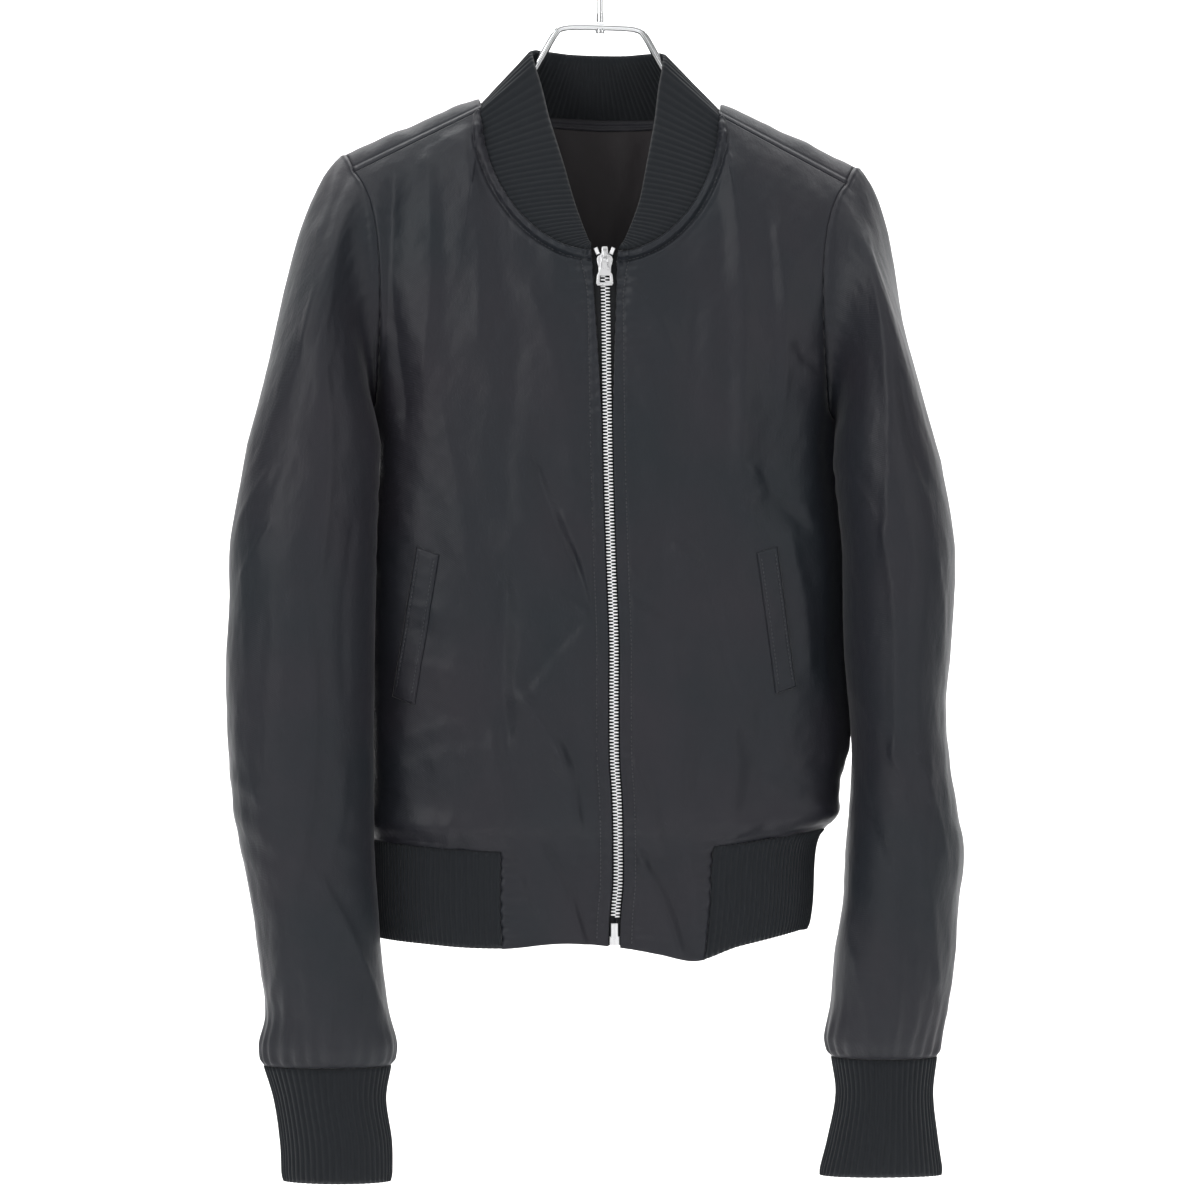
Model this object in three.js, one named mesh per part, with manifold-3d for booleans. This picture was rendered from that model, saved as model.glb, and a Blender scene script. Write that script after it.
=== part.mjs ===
import * as THREE from "three";
import Module from "manifold-3d";

// Zip-front bomber jacket hanging on a wire hanger.
// Millimetres, +Z up, the front faces -Y, +X is the wearer's left.
// The origin is the inside top of the hanger's hook, where the rail carries it.

const wasm = await Module();
wasm.setup();

// Driving sizes
const CLOTH = 1.8;
const RIB_KNIT = 3;
const RIB_RELIEF = 0.6;
const SEAM = 0.35;
const LEAN = Math.tan(THREE.MathUtils.degToRad(1.4));
const ARMPIT_Z = -385;
const NECK_SIDE = { x: 88, y: -14, z: -158.2 };
const SHOULDER_TIP = { x: 181, y: -14, z: -207 };
const NECK_DROP = 106;
const NECK_POWER = 1.85;
const BACK_NECK = [[0, 46, -155], [40, 43, -154], [70, 33, -152], [93, 5, -152], [88, -14, -158.2]];
const FRONT_COLUMNS = 14;
const TAB_COLUMNS = 4;
const BACK_COLUMNS = 22;
const YOKE_ROWS = 10;
const SKIRT_SHARES = [0, 0.13, 0.27, 0.4, 0.53, 0.66, 0.78, 0.88, 0.95, 1];
const SKIRT_ROWS = SKIRT_SHARES.length - 1;
const TAB_ROWS = 3;
const TAB_ANGLE = { right: 24, left: 32 };
const SLEEVE_COLUMNS = 2 * YOKE_ROWS;
const CAP_ROWS = 4;
const HEM_RIBS = 168;
const CUFF_RIBS = 54;
const COLLAR_RIBS = 110;
const BAR = 5.5;

// Body sections at the armpit and below: the edges in x, the depths, and how square each one is
const SECTIONS = [
  { z: -385, left: -165, right: 169, front: 56, back: 44, power: 2.8 },
  { z: -411, left: -164, right: 168, front: 56, back: 45, power: 2.7 },
  { z: -448, left: -168, right: 172, front: 57, back: 46, power: 2.6 },
  { z: -485, left: -171, right: 174, front: 58, back: 46, power: 2.6 },
  { z: -559, left: -171, right: 175, front: 58, back: 46, power: 2.6 },
  { z: -605, left: -171, right: 180, front: 57.5, back: 46, power: 2.6 },
  { z: -640, left: -171, right: 179, front: 57, back: 46, power: 2.6 },
  { z: -668, left: -171, right: 174, front: 56, back: 45, power: 2.6 },
  { z: -682, left: -170.5, right: 170, front: 54, back: 44, power: 2.6 },
  { z: -692, left: -169.5, right: 162, front: 50, back: 42, power: 2.6 },
  { z: -707, left: -169, right: 158.4, front: 47.5, back: 40.5, power: 2.6 },
  { z: -744, left: -168.5, right: 156, front: 46.5, back: 40, power: 2.6 },
  { z: -785, left: -163, right: 149, front: 45.5, back: 39, power: 2.6 },
];

// Where the front zip runs, and how far each front's edge stands off it
const ZIP_LINE = [
  { z: -250, x: 3 }, { z: -265, x: 3.3 }, { z: -315, x: 4.3 }, { z: -373, x: 5.1 }, { z: -431, x: 6.2 },
  { z: -489, x: 8 }, { z: -547, x: 10.1 }, { z: -591, x: 10.1 }, { z: -634, x: 10.5 }, { z: -663, x: 12.3 },
  { z: -700, x: 13.1 }, { z: -725, x: 13 }, { z: -739, x: 11.8 }, { z: -755, x: 10.7 }, { z: -790, x: 10.1 },
];
const ZIP_GAP = [
  { z: -800, half: 4.2 }, { z: -300, half: 4.2 }, { z: -285, half: 6 },
  { z: -270, half: 9 }, { z: -255, half: 10.5 },
];

// The seam above the hem rib and the hem's lower edge, across the width
const RIB_SEAM = [{ x: -170, z: -695 }, { x: -71, z: -701 }, { x: 82, z: -697 }, { x: 160, z: -687 }];
const HEM_LINE = [
  { x: -168, z: -766.5 }, { x: -131, z: -769.5 }, { x: -72, z: -772 }, { x: -25, z: -768 }, { x: 11, z: -770.5 },
  { x: 43, z: -779 }, { x: 62, z: -777 }, { x: 102, z: -769 }, { x: 147, z: -761 },
];

// The collar's rim from the zip (0) to the centre back (1): half width, depth, height
const RIM = [
  { u: 0, half: 11, y: -47, z: -259 },
  { u: 0.05, half: 16.7, y: -44.5, z: -246 },
  { u: 0.123, half: 23.7, y: -39, z: -226 },
  { u: 0.2, half: 29.5, y: -33, z: -202 },
  { u: 0.29, half: 36.6, y: -26, z: -179 },
  { u: 0.366, half: 41.6, y: -20, z: -162.7 },
  { u: 0.467, half: 46.8, y: -14, z: -139.6 },
  { u: 0.53, half: 50, y: -9, z: -122 },
  { u: 0.6, half: 50.5, y: -1, z: -111 },
  { u: 0.725, half: 41.5, y: 9, z: -109.5 },
  { u: 0.843, half: 22, y: 12, z: -111.5 },
  { u: 1, half: 0, y: 13, z: -114 },
];
const RIM_CENTRE = [{ z: -260, x: 4.6 }, { z: -220, x: 4.6 }, { z: -150, x: 1.5 }, { z: -110, x: 0 }];

// Sleeve rings down to the cuff seam: edges in x away from the body's middle, centre and half depth in y
const SLEEVE_LEFT = [
  { z: -411, inner: 171, outer: 250, y: -18, deep: 64, turn: 10 },
  { z: -446, inner: 174.5, outer: 256, y: -20, deep: 66, turn: 6 },
  { z: -481, inner: 178, outer: 260, y: -20, deep: 67, turn: 0 },
  { z: -555, inner: 179.5, outer: 260, y: -20, deep: 66, turn: 0 },
  { z: -592, inner: 182.5, outer: 258, y: -20, deep: 64, turn: 0 },
  { z: -629, inner: 184.5, outer: 258, y: -20, deep: 62, turn: 0 },
  { z: -666, inner: 183.5, outer: 264, y: -20, deep: 60, turn: 0 },
  { z: -703, inner: 180, outer: 267, y: -20, deep: 56, turn: 0 },
  { z: -740, inner: 178, outer: 263, y: -20, deep: 52, turn: 0 },
  { z: -777, inner: 172, outer: 261, y: -20, deep: 48, turn: 0 },
  { z: -814, inner: 169, outer: 256, y: -20, deep: 42, turn: 0 },
  { z: -838, inner: 165, outer: 256, y: -20, deep: 34, turn: 0 },
  { z: -848, inner: 167, outer: 253, y: -20, deep: 27, turn: 0 },
  { z: -853, inner: 170, outer: 250, y: -20, deep: 22, turn: 0 },
];
const SLEEVE_RIGHT = [
  { z: -411, inner: 160, outer: 265, y: -40, deep: 50, turn: 34 },
  { z: -448, inner: 161, outer: 269, y: -46, deep: 53, turn: 22 },
  { z: -485, inner: 162, outer: 275, y: -48, deep: 54, turn: 10 },
  { z: -522, inner: 163, outer: 274.5, y: -48, deep: 54, turn: 0 },
  { z: -559, inner: 163.5, outer: 276, y: -48, deep: 53, turn: 0 },
  { z: -615, inner: 164, outer: 274.5, y: -48, deep: 52, turn: 0 },
  { z: -670, inner: 164, outer: 271, y: -48, deep: 50, turn: 0 },
  { z: -707, inner: 163.5, outer: 264, y: -48, deep: 48, turn: 0 },
  { z: -744, inner: 162, outer: 257.5, y: -48, deep: 45, turn: 0 },
  { z: -781, inner: 159.5, outer: 252, y: -48, deep: 41, turn: 0 },
  { z: -818, inner: 156, outer: 247, y: -47, deep: 36, turn: 0 },
  { z: -839, inner: 151, outer: 252.5, y: -46, deep: 32, turn: 0 },
  { z: -850, inner: 153, outer: 252, y: -46, deep: 26, turn: 0 },
  { z: -856, inner: 156, outer: 249, y: -46, deep: 21, turn: 0 },
];
const CUFF_LEFT = [
  { z: -853, inner: 170, outer: 250, y: -20, deep: 22, turn: 0 },
  { z: -880, inner: 173.5, outer: 247, y: -20, deep: 21, turn: 0 },
  { z: -912, inner: 169, outer: 249, y: -20, deep: 20, turn: 0 },
  { z: -940, inner: 163.5, outer: 253, y: -20, deep: 17, turn: 0 },
];
const CUFF_RIGHT = [
  { z: -856, inner: 156, outer: 249, y: -46, deep: 21, turn: 0 },
  { z: -880, inner: 158.5, outer: 242.5, y: -46, deep: 20, turn: 0 },
  { z: -912, inner: 155, outer: 237.5, y: -46, deep: 19, turn: 0 },
  { z: -940, inner: 155, outer: 236, y: -46, deep: 17, turn: 0 },
];

// The largest folds as they lie seen from the front: ends, reach to each side, height (a trough is negative)
const FRONT_FOLDS = [
  { x0: -98, z0: -195, x1: -88, z1: -325, reach: 13, rise: 3.5 },
  { x0: -152, z0: -228, x1: -144, z1: -375, reach: 12, rise: -4 },
  { x0: -36, z0: -462, x1: -14, z1: -520, reach: 7, rise: 3 },
  { x0: -53, z0: -592, x1: -27, z1: -632, reach: 9, rise: 3.5 },
  { x0: -27, z0: -632, x1: -17, z1: -673, reach: 8, rise: 3 },
  { x0: -69, z0: -511, x1: -69, z1: -610, reach: 12, rise: -3 },
  { x0: -140, z0: -640, x1: -92, z1: -628, reach: 10, rise: 3 },
  { x0: -134, z0: -540, x1: -98, z1: -548, reach: 10, rise: -2.5 },
  { x0: -38, z0: -705, x1: -14, z1: -762, reach: 8, rise: 2.5 },
  { x0: 96, z0: -206, x1: 102, z1: -408, reach: 14, rise: 3.5 },
  { x0: 124, z0: -433, x1: 146, z1: -457, reach: 9, rise: -3.5 },
  { x0: 96, z0: -620, x1: 97, z1: -674, reach: 9, rise: 3.5 },
  { x0: 118, z0: -598, x1: 119, z1: -676, reach: 9, rise: -3 },
  { x0: 138, z0: -640, x1: 168, z1: -655, reach: 11, rise: 3 },
  { x0: 32, z0: -712, x1: 56, z1: -768, reach: 9, rise: 2.5 },
];
const BACK_FOLDS = [
  { x0: -92, z0: -215, x1: -80, z1: -380, reach: 15, rise: 3 },
  { x0: 96, z0: -215, x1: 88, z1: -400, reach: 15, rise: 3 },
  { x0: -40, z0: -430, x1: -58, z1: -610, reach: 16, rise: -3 },
  { x0: 48, z0: -470, x1: 66, z1: -640, reach: 16, rise: -3 },
  { x0: 0, z0: -560, x1: 6, z1: -680, reach: 14, rise: 3 },
  { x0: -128, z0: -560, x1: -118, z1: -680, reach: 12, rise: 3.5 },
  { x0: 126, z0: -540, x1: 120, z1: -678, reach: 12, rise: 3.5 },
];
const SLEEVE_FOLDS_LEFT = [
  { x0: 196, z0: -250, x1: 204, z1: -470, reach: 13, rise: 4 },
  { x0: 204, z0: -470, x1: 211, z1: -628, reach: 13, rise: 4 },
  { x0: 211, z0: -628, x1: 244, z1: -792, reach: 12, rise: 4 },
  { x0: 216, z0: -354, x1: 233, z1: -426, reach: 11, rise: -3.5 },
  { x0: 213, z0: -736, x1: 214, z1: -834, reach: 9, rise: 3 },
];
const SLEEVE_FOLDS_RIGHT = [
  { x0: -204, z0: -254, x1: -212, z1: -334, reach: 13, rise: 4 },
  { x0: -196, z0: -363, x1: -198, z1: -492, reach: 13, rise: 3.5 },
  { x0: -208, z0: -518, x1: -209, z1: -690, reach: 13, rise: 4 },
  { x0: -209, z0: -690, x1: -237, z1: -806, reach: 11, rise: 3.5 },
  { x0: -202, z0: -712, x1: -158, z1: -812, reach: 10, rise: 3.5 },
];

// Welt pockets: where the slanted strips lie on the fronts, seen from the front
const WELTS = {
  right: { top: [-125, -484], foot: [-143, -592], wide: 17 },
  left: { top: [121, -480], foot: [135, -584], wide: 15 },
};
const WELT_THICK = 1.6;
const WELT_GAP = 0.45;

const vec = (x, y, z) => new THREE.Vector3(x, y, z);
const mix = THREE.MathUtils.lerp;
const radians = THREE.MathUtils.degToRad;

// A column of a table at a place along another column, on a smooth curve through the rows
function read(table, along, key, at) {
  const rows = table[0][along] < table[table.length - 1][along] ? table : [...table].reverse();
  const last = rows.length - 1;
  if (at <= rows[0][along]) return rows[0][key];
  if (at >= rows[last][along]) return rows[last][key];
  const i = rows.findIndex((row, k) => at < rows[k + 1][along]);
  const slope = (k) => {
    const a = rows[Math.max(0, k - 1)];
    const b = rows[Math.min(last, k + 1)];
    return (b[key] - a[key]) / (b[along] - a[along]);
  };
  const span = rows[i + 1][along] - rows[i][along];
  const t = (at - rows[i][along]) / span;
  const early = rows[i][key] * (1 + 2 * t) * (1 - t) ** 2 + slope(i) * span * t * (1 - t) ** 2;
  return early + rows[i + 1][key] * t * t * (3 - 2 * t) + slope(i + 1) * span * t * t * (t - 1);
}

// The jacket hangs a little lower on +X; the lean fades out below the armpit
function leaning(p) {
  const share = THREE.MathUtils.clamp((p.z + 600) / 215, 0, 1);
  return vec(p.x, p.y, p.z - p.x * LEAN * share);
}

const section = (z) => {
  const left = read(SECTIONS, "z", "left", z);
  const right = read(SECTIONS, "z", "right", z);
  const power = read(SECTIONS, "z", "power", z);
  const front = read(SECTIONS, "z", "front", z);
  const back = read(SECTIONS, "z", "back", z);
  return { middle: (left + right) / 2, reach: (right - left) / 2, front, back, power };
};

// A point of the body's section: angle 0 is the middle, +-90 the sides; deep is "front" or "back"
function bodyPoint(angle, z, deep) {
  const s = section(z);
  const across = Math.sin(radians(angle));
  const depth = s[deep] * Math.max(0, 1 - Math.abs(across) ** s.power) ** (1 / s.power);
  return vec(s.middle + s.reach * across, deep === "front" ? -depth : depth, z);
}

const zipX = (z) => read(ZIP_LINE, "z", "x", z);
const zipGap = (z) => read(ZIP_GAP, "z", "half", z);

// The angle of a front's zip edge in the section at a height
function edgeAngle(side, z) {
  const s = section(z);
  return THREE.MathUtils.radToDeg(Math.asin((side * (zipX(z) + side * zipGap(z) - s.middle)) / s.reach));
}

const tabShare = TAB_COLUMNS / FRONT_COLUMNS;
const tabAngle = (side) => (side < 0 ? TAB_ANGLE.right : TAB_ANGLE.left);

function frontAngle(side, s, z) {
  const start = edgeAngle(side, z);
  if (s <= tabShare) return mix(start, tabAngle(side), s / tabShare);
  return mix(tabAngle(side), 90, (s - tabShare) / (1 - tabShare));
}

// Upper edge of a front: neckline up to s 0.5, then the shoulder seam
function frontTop(side, s) {
  if (s > 0.5) {
    const t = (s - 0.5) * 2;
    const x = side * mix(NECK_SIDE.x, SHOULDER_TIP.x, t);
    return vec(x, NECK_SIDE.y, mix(NECK_SIDE.z, SHOULDER_TIP.z, t));
  }
  const turn = s * Math.PI;
  const low = NECK_SIDE.z - NECK_DROP;
  const start = zipX(low) + side * zipGap(low);
  const x = mix(start, side * NECK_SIDE.x, Math.sin(turn) ** (2 / NECK_POWER));
  const drop = Math.cos(turn) ** (2 / NECK_POWER);
  return vec(x, NECK_SIDE.y - 34 * Math.cos(turn) ** 1.3, NECK_SIDE.z - NECK_DROP * drop);
}

const backNeck = new THREE.CatmullRomCurve3(BACK_NECK.map((p) => vec(...p)));

function backTop(side, s) {
  if (s > 0.5) return frontTop(side, s);
  const p = backNeck.getPointAt(s * 2);
  return vec(side * p.x, p.y, p.z);
}

// A front column from the armpit row up to its upper edge, full at the chest and in at the armhole
function frontColumn(side, s) {
  const foot = bodyPoint(side * frontAngle(side, s, ARMPIT_Z), ARMPIT_Z, "front");
  if (side < 0) foot.x = bodyPoint(-frontAngle(side, s, ARMPIT_Z), ARMPIT_Z, "front").x;
  const top = frontTop(side, s);
  const lift = 30 * THREE.MathUtils.smoothstep(s, 0, 0.5);
  const a = foot.clone().lerp(top, 1 / 3).add(vec(-side * 10 * s ** 3, -0.8 - 44 * s ** 1.5, 3 * s));
  const b = foot.clone().lerp(top, 2 / 3).add(vec(-side * 22.7 * s ** 3, -1 - 35.5 * s ** 1.25, lift));
  return new THREE.CubicBezierCurve3(foot, a, b, top);
}

// A back column, which passes over the shoulder's ridge and down to the seam in front of it
function backColumn(side, s) {
  const foot = bodyPoint(side * s * 90, ARMPIT_Z, "back");
  const top = backTop(side, s);
  const over = THREE.MathUtils.clamp((46 - top.y) / 60, 0, 1);
  const a = foot.clone().lerp(top, 1 / 3).add(vec(-side * 15 * s ** 3, 3 + 55 * s, 0));
  const plain = foot.clone().lerp(top, 2 / 3).add(vec(0, 6, 0));
  const outward = 29 * THREE.MathUtils.smoothstep(s, 0.5, 1);
  const folded = top.clone().add(vec(side * outward, 44, 37));
  return new THREE.CubicBezierCurve3(foot, a, plain.lerp(folded, over), top);
}

// The back's yoke: columns blend with their neighbours away from the edges, so that no ridge leaves the neck
const BLEND_REACH = 0.34;
const BLEND_STEPS = 4;
const BLEND_WIDTH = 2.4;
function backYoke(s, v) {
  const inside = fade(v, 0, 0.35) * (1 - fade(v, 0.7, 1)) * fade(1 - Math.abs(s), 0, 0.35);
  const sum = vec(0, 0, 0);
  let total = 0;
  range(-BLEND_STEPS, BLEND_STEPS).forEach((k) => {
    const at = s + (BLEND_REACH * inside * k) / BLEND_STEPS;
    const weight = Math.exp(-((k / BLEND_WIDTH) ** 2));
    sum.addScaledVector(backColumn(Math.sign(at) || 1, Math.abs(at)).getPoint(1 - v), weight);
    total += weight;
  });
  return sum.divideScalar(total);
}

// Height of a fold pattern at a place seen along Y
function foldRise(folds, x, z) {
  return folds.reduce((sum, f) => {
    const line = new THREE.Line3(vec(f.x0, 0, f.z0), vec(f.x1, 0, f.z1));
    const at = vec(x, 0, z);
    const away = line.closestPointToPoint(at, true, vec(0, 0, 0)).distanceTo(at);
    return sum + f.rise * Math.exp(-((away / f.reach) ** 2));
  }, 0);
}

const fade = (value, from, to) => THREE.MathUtils.smoothstep(value, from, to);

// Normals of a grid of points [row][column], facing away from the inside point given
function gridNormals(grid, wrap) {
  const rows = grid.length;
  const columns = grid[0].length;
  return grid.map((row, j) => row.map((p, i) => {
    const next = wrap ? row[(i + 1) % columns] : row[Math.min(columns - 1, i + 1)];
    const prior = wrap ? row[(i + columns - 1) % columns] : row[Math.max(0, i - 1)];
    const across = next.clone().sub(prior);
    const down = grid[Math.min(rows - 1, j + 1)][i].clone().sub(grid[Math.max(0, j - 1)][i]);
    return across.cross(down).normalize();
  }));
}

// Joins two edges of a wall, given as lists of vertex numbers that may differ in length
function joinEdges(faces, a, b) {
  let i = 0;
  let j = 0;
  while (i < a.length - 1 || j < b.length - 1) {
    const aFirst = (i + 1) / (a.length - 1) <= (j + 1) / (b.length - 1);
    const stepA = j === b.length - 1 || (i < a.length - 1 && aFirst);
    if (stepA) {
      faces.push([a[i], a[i + 1], b[j]]);
      i += 1;
    } else {
      faces.push([a[i], b[j + 1], b[j]]);
      j += 1;
    }
  }
}

function meshOf(name, points, faces, material) {
  const flat = points.flatMap((p) => leaning(p).toArray());
  const volume = faces.reduce((sum, [a, b, c]) => sum + points[a].dot(points[b].clone().cross(points[c])), 0);
  const turned = volume < 0 ? faces.map(([a, b, c]) => [a, c, b]) : faces;
  const geometry = new THREE.BufferGeometry();
  geometry.setAttribute("position", new THREE.Float32BufferAttribute(flat, 3));
  geometry.setIndex(turned.flat());
  geometry.computeVertexNormals();
  const mesh = new THREE.Mesh(geometry, material);
  mesh.name = name;
  return mesh;
}

// A closed wall between an outer and an inner grid; keep says which cells there are
function wall(name, outer, inner, wrap, material, keep = () => true) {
  const points = [...outer.flat(), ...inner.flat()];
  const columns = outer[0].length;
  const innerColumns = inner[0].length;
  const offset = outer.length * columns;
  const out = (j, i) => j * columns + (i % columns);
  const inn = (j, i) => offset + j * innerColumns + (i % innerColumns);
  const faces = [];
  const cells = wrap ? columns : columns - 1;
  const same = columns === innerColumns;
  const has = (j, i) => {
    const column = wrap ? (i + cells) % cells : i;
    return j >= 0 && j < outer.length - 1 && column >= 0 && column < cells && keep(j, column);
  };
  for (let j = 0; j < outer.length - 1; j += 1) {
    for (let i = 0; i < cells; i += 1) {
      if (has(j, i)) {
        faces.push([out(j, i), out(j, i + 1), out(j + 1, i + 1)]);
        faces.push([out(j, i), out(j + 1, i + 1), out(j + 1, i)]);
        if (same) {
          faces.push([inn(j, i), inn(j + 1, i + 1), inn(j, i + 1)]);
          faces.push([inn(j, i), inn(j + 1, i), inn(j + 1, i + 1)]);
          if (!has(j - 1, i)) joinEdges(faces, [out(j, i + 1), out(j, i)], [inn(j, i + 1), inn(j, i)]);
          if (!has(j + 1, i)) {
            joinEdges(faces, [out(j + 1, i), out(j + 1, i + 1)], [inn(j + 1, i), inn(j + 1, i + 1)]);
          }
        }
        const k = same ? i : 0;
        if (!has(j, i - 1)) joinEdges(faces, [out(j, i), out(j + 1, i)], [inn(j, k), inn(j + 1, k)]);
        if (!has(j, i + 1)) {
          const k = same ? i + 1 : innerColumns - 1;
          joinEdges(faces, [out(j + 1, i + 1), out(j, i + 1)], [inn(j + 1, k), inn(j, k)]);
        }
      }
    }
  }
  if (!same) {
    const innerCells = wrap ? innerColumns : innerColumns - 1;
    for (let j = 0; j < inner.length - 1; j += 1) {
      for (let i = 0; i < innerCells; i += 1) {
        faces.push([inn(j, i), inn(j + 1, i + 1), inn(j, i + 1)]);
        faces.push([inn(j, i), inn(j + 1, i), inn(j + 1, i + 1)]);
      }
    }
    const outEdge = (j) => Array.from({ length: cells + 1 }, (_, i) => out(j, i));
    const innEdge = (j) => Array.from({ length: innerCells + 1 }, (_, i) => inn(j, i));
    joinEdges(faces, outEdge(0).reverse(), innEdge(0).reverse());
    joinEdges(faces, outEdge(outer.length - 1), innEdge(outer.length - 1));
  }
  return meshOf(name, points, faces, material);
}

const moved = (grid, normals, by) => grid.map((row, j) => (
  row.map((p, i) => p.clone().addScaledVector(normals[j][i], by))
));

// Materials
const satin = new THREE.MeshStandardMaterial({ color: 0x35363a, roughness: 0.42, metalness: 0 });
const knit = new THREE.MeshStandardMaterial({ color: 0x22272c, roughness: 0.9, metalness: 0 });
const tape = new THREE.MeshStandardMaterial({ color: 0x1d1f22, roughness: 0.85, metalness: 0 });
const silver = new THREE.MeshStandardMaterial({ color: 0xc9cbce, roughness: 0.28, metalness: 1 });
const chrome = new THREE.MeshStandardMaterial({ color: 0xd5d7da, roughness: 0.12, metalness: 1 });

const jacket = new THREE.Group();

// Seam normals that neighbouring pieces share: the armhole loops and the necklines, one set a side
const armhole = { "-1": [], 1: [] };
const neckline = { "-1": [], 1: [] };

// Rows of a panel: the yoke rows from its upper edge down to the armpit, then the skirt rows
const skirtZ = (x, j) => mix(ARMPIT_Z, read(RIB_SEAM, "x", "z", x), SKIRT_SHARES[j]);

function frontGrid(side) {
  const columns = Array.from({ length: FRONT_COLUMNS + 1 }, (_, i) => i / FRONT_COLUMNS);
  const curves = columns.map((s) => frontColumn(side, s));
  const grid = [];
  for (let j = 0; j < YOKE_ROWS; j += 1) {
    grid.push(curves.map((curve) => curve.getPoint(1 - j / YOKE_ROWS)));
  }
  const place = (s, zOf) => {
    let z = zOf(side * 90);
    for (let pass = 0; pass < 3; pass += 1) z = zOf(bodyPoint(side * frontAngle(side, s, z), z, "front").x);
    return bodyPoint(side * frontAngle(side, s, z), z, "front");
  };
  for (let j = 0; j <= SKIRT_ROWS; j += 1) {
    grid.push(columns.map((s) => place(s, (x) => skirtZ(x, j))));
  }
  for (let j = 1; j <= TAB_ROWS; j += 1) {
    const low = (x) => mix(read(RIB_SEAM, "x", "z", x), read(HEM_LINE, "x", "z", x), j / TAB_ROWS);
    grid.push(columns.map((s) => place(s, low)));
  }
  return grid;
}

// Normals on seams are set so that both sides of a seam end on one plane
function flatten(normals, rows, columns) {
  rows.forEach((j) => columns.forEach((i) => normals[j][i].setZ(0).normalize()));
}

const range = (from, to) => Array.from({ length: to - from + 1 }, (_, i) => from + i);

function front(side) {
  const name = side < 0 ? "front_right" : "front_left";
  const grid = frontGrid(side);
  const normals = gridNormals(grid, false);
  if (side > 0) normals.flat().forEach((n) => n.negate());
  const seamRow = YOKE_ROWS + SKIRT_ROWS;
  const last = FRONT_COLUMNS;
  range(YOKE_ROWS, grid.length - 1).forEach((j) => normals[j][last].set(side, 0, 0));
  flatten(normals, [seamRow], range(0, last));
  const across = vec(side * 0.94, 0, -0.34);
  range(0, YOKE_ROWS - 1).forEach((j) => {
    const down = grid[j + 1][last].clone().sub(grid[Math.max(0, j - 1)][last]);
    normals[j][last].copy(across.clone().cross(down).normalize().multiplyScalar(-side));
  });
  range(FRONT_COLUMNS / 2, last).forEach((i) => normals[0][i].set(side * 0.3, -0.6, 0.74).normalize());
  const shaped = grid.map((row, j) => row.map((p, i) => {
    const edge = fade(i, 0, 2) * (1 - fade(i, last - 1, last)) * fade(j, 0, 2);
    const seam = fade(Math.abs(j - seamRow), 0, 1) * (1 - fade(j, grid.length - 2, grid.length - 1) * 0.5);
    return p.clone().addScaledVector(normals[j][i], foldRise(FRONT_FOLDS, p.x, p.z) * edge * seam);
  }));
  armhole[side].push(...range(0, YOKE_ROWS).map((j) => ({ at: shaped[j][last], normal: normals[j][last] })));
  neckline[side].push(...range(0, FRONT_COLUMNS / 2).map((i) => ({ at: shaped[0][i], normal: normals[0][i] })));
  const keep = (j, i) => j < seamRow || i < TAB_COLUMNS;
  return { mesh: wall(name, shaped, moved(shaped, normals, -CLOTH), false, satin, keep), shaped, normals };
}

function backPanel() {
  const columns = Array.from({ length: BACK_COLUMNS + 1 }, (_, i) => (2 * i) / BACK_COLUMNS - 1);
  const grid = [];
  for (let j = 0; j < YOKE_ROWS; j += 1) {
    grid.push(columns.map((s) => backYoke(s, j / YOKE_ROWS)));
  }
  for (let j = 0; j <= SKIRT_ROWS; j += 1) {
    grid.push(columns.map((s) => {
      let p = bodyPoint(s * 90, ARMPIT_Z, "back");
      for (let pass = 0; pass < 3; pass += 1) p = bodyPoint(s * 90, skirtZ(p.x, j), "back");
      return p;
    }));
  }
  const normals = gridNormals(grid, false);
  const last = BACK_COLUMNS;
  const seamRow = grid.length - 1;
  [[0, -1], [last, 1]].forEach(([i, side]) => {
    range(YOKE_ROWS, seamRow).forEach((j) => normals[j][i].set(side, 0, 0));
    const across = vec(side * 0.94, 0, -0.34);
    range(0, YOKE_ROWS - 1).forEach((j) => {
      const down = grid[j + 1][i].clone().sub(grid[Math.max(0, j - 1)][i]);
      normals[j][i].copy(across.clone().cross(down).normalize().multiplyScalar(side));
    });
    normals[0][i].set(side * 0.3, -0.6, 0.74).normalize();
  });
  flatten(normals, [seamRow], range(0, last));
  columns.forEach((s, i) => {
    if (Math.abs(s) >= 0.49) normals[0][i].set(Math.sign(s) * 0.3, -0.6, 0.74).normalize();
  });
  const shaped = grid.map((row, j) => row.map((p, i) => {
    const across = fade(i, 0, 2) * (1 - fade(i, last - 2, last));
    const edge = across * fade(j, 0, 2) * (1 - fade(j, seamRow - 1, seamRow));
    return p.clone().addScaledVector(normals[j][i], foldRise(BACK_FOLDS, p.x, p.z) * edge);
  }));
  [[0, -1], [last, 1]].forEach(([i, side]) => {
    const rows = range(1, YOKE_ROWS - 1).reverse();
    armhole[side].push(...rows.map((j) => ({ at: shaped[j][i], normal: normals[j][i] })));
  });
  const middle = last / 2;
  const neckColumns = columns.filter((s) => s >= 0 && s < 0.49).length;
  range(0, neckColumns - 1).reverse().forEach((k) => {
    neckline[1].push({ at: shaped[0][middle + k], normal: normals[0][middle + k] });
    neckline["-1"].push({ at: shaped[0][middle - k], normal: normals[0][middle - k] });
  });
  const spaced = shaped.map((row, j) => row.map((p, i) => {
    const q = p.clone();
    if ((i === 0 || i === last) && j >= YOKE_ROWS) q.y += SEAM;
    if (j === 0 && Math.abs(columns[i]) > 0.45) q.add(vec(0, 0.78, 0.62).multiplyScalar(SEAM + 0.1));
    if ((i === 0 || i === last) && j < YOKE_ROWS) q.y += SEAM * 0.5;
    return q;
  }));
  return wall("back", spaced, moved(spaced, normals, -CLOTH), false, satin);
}

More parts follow.
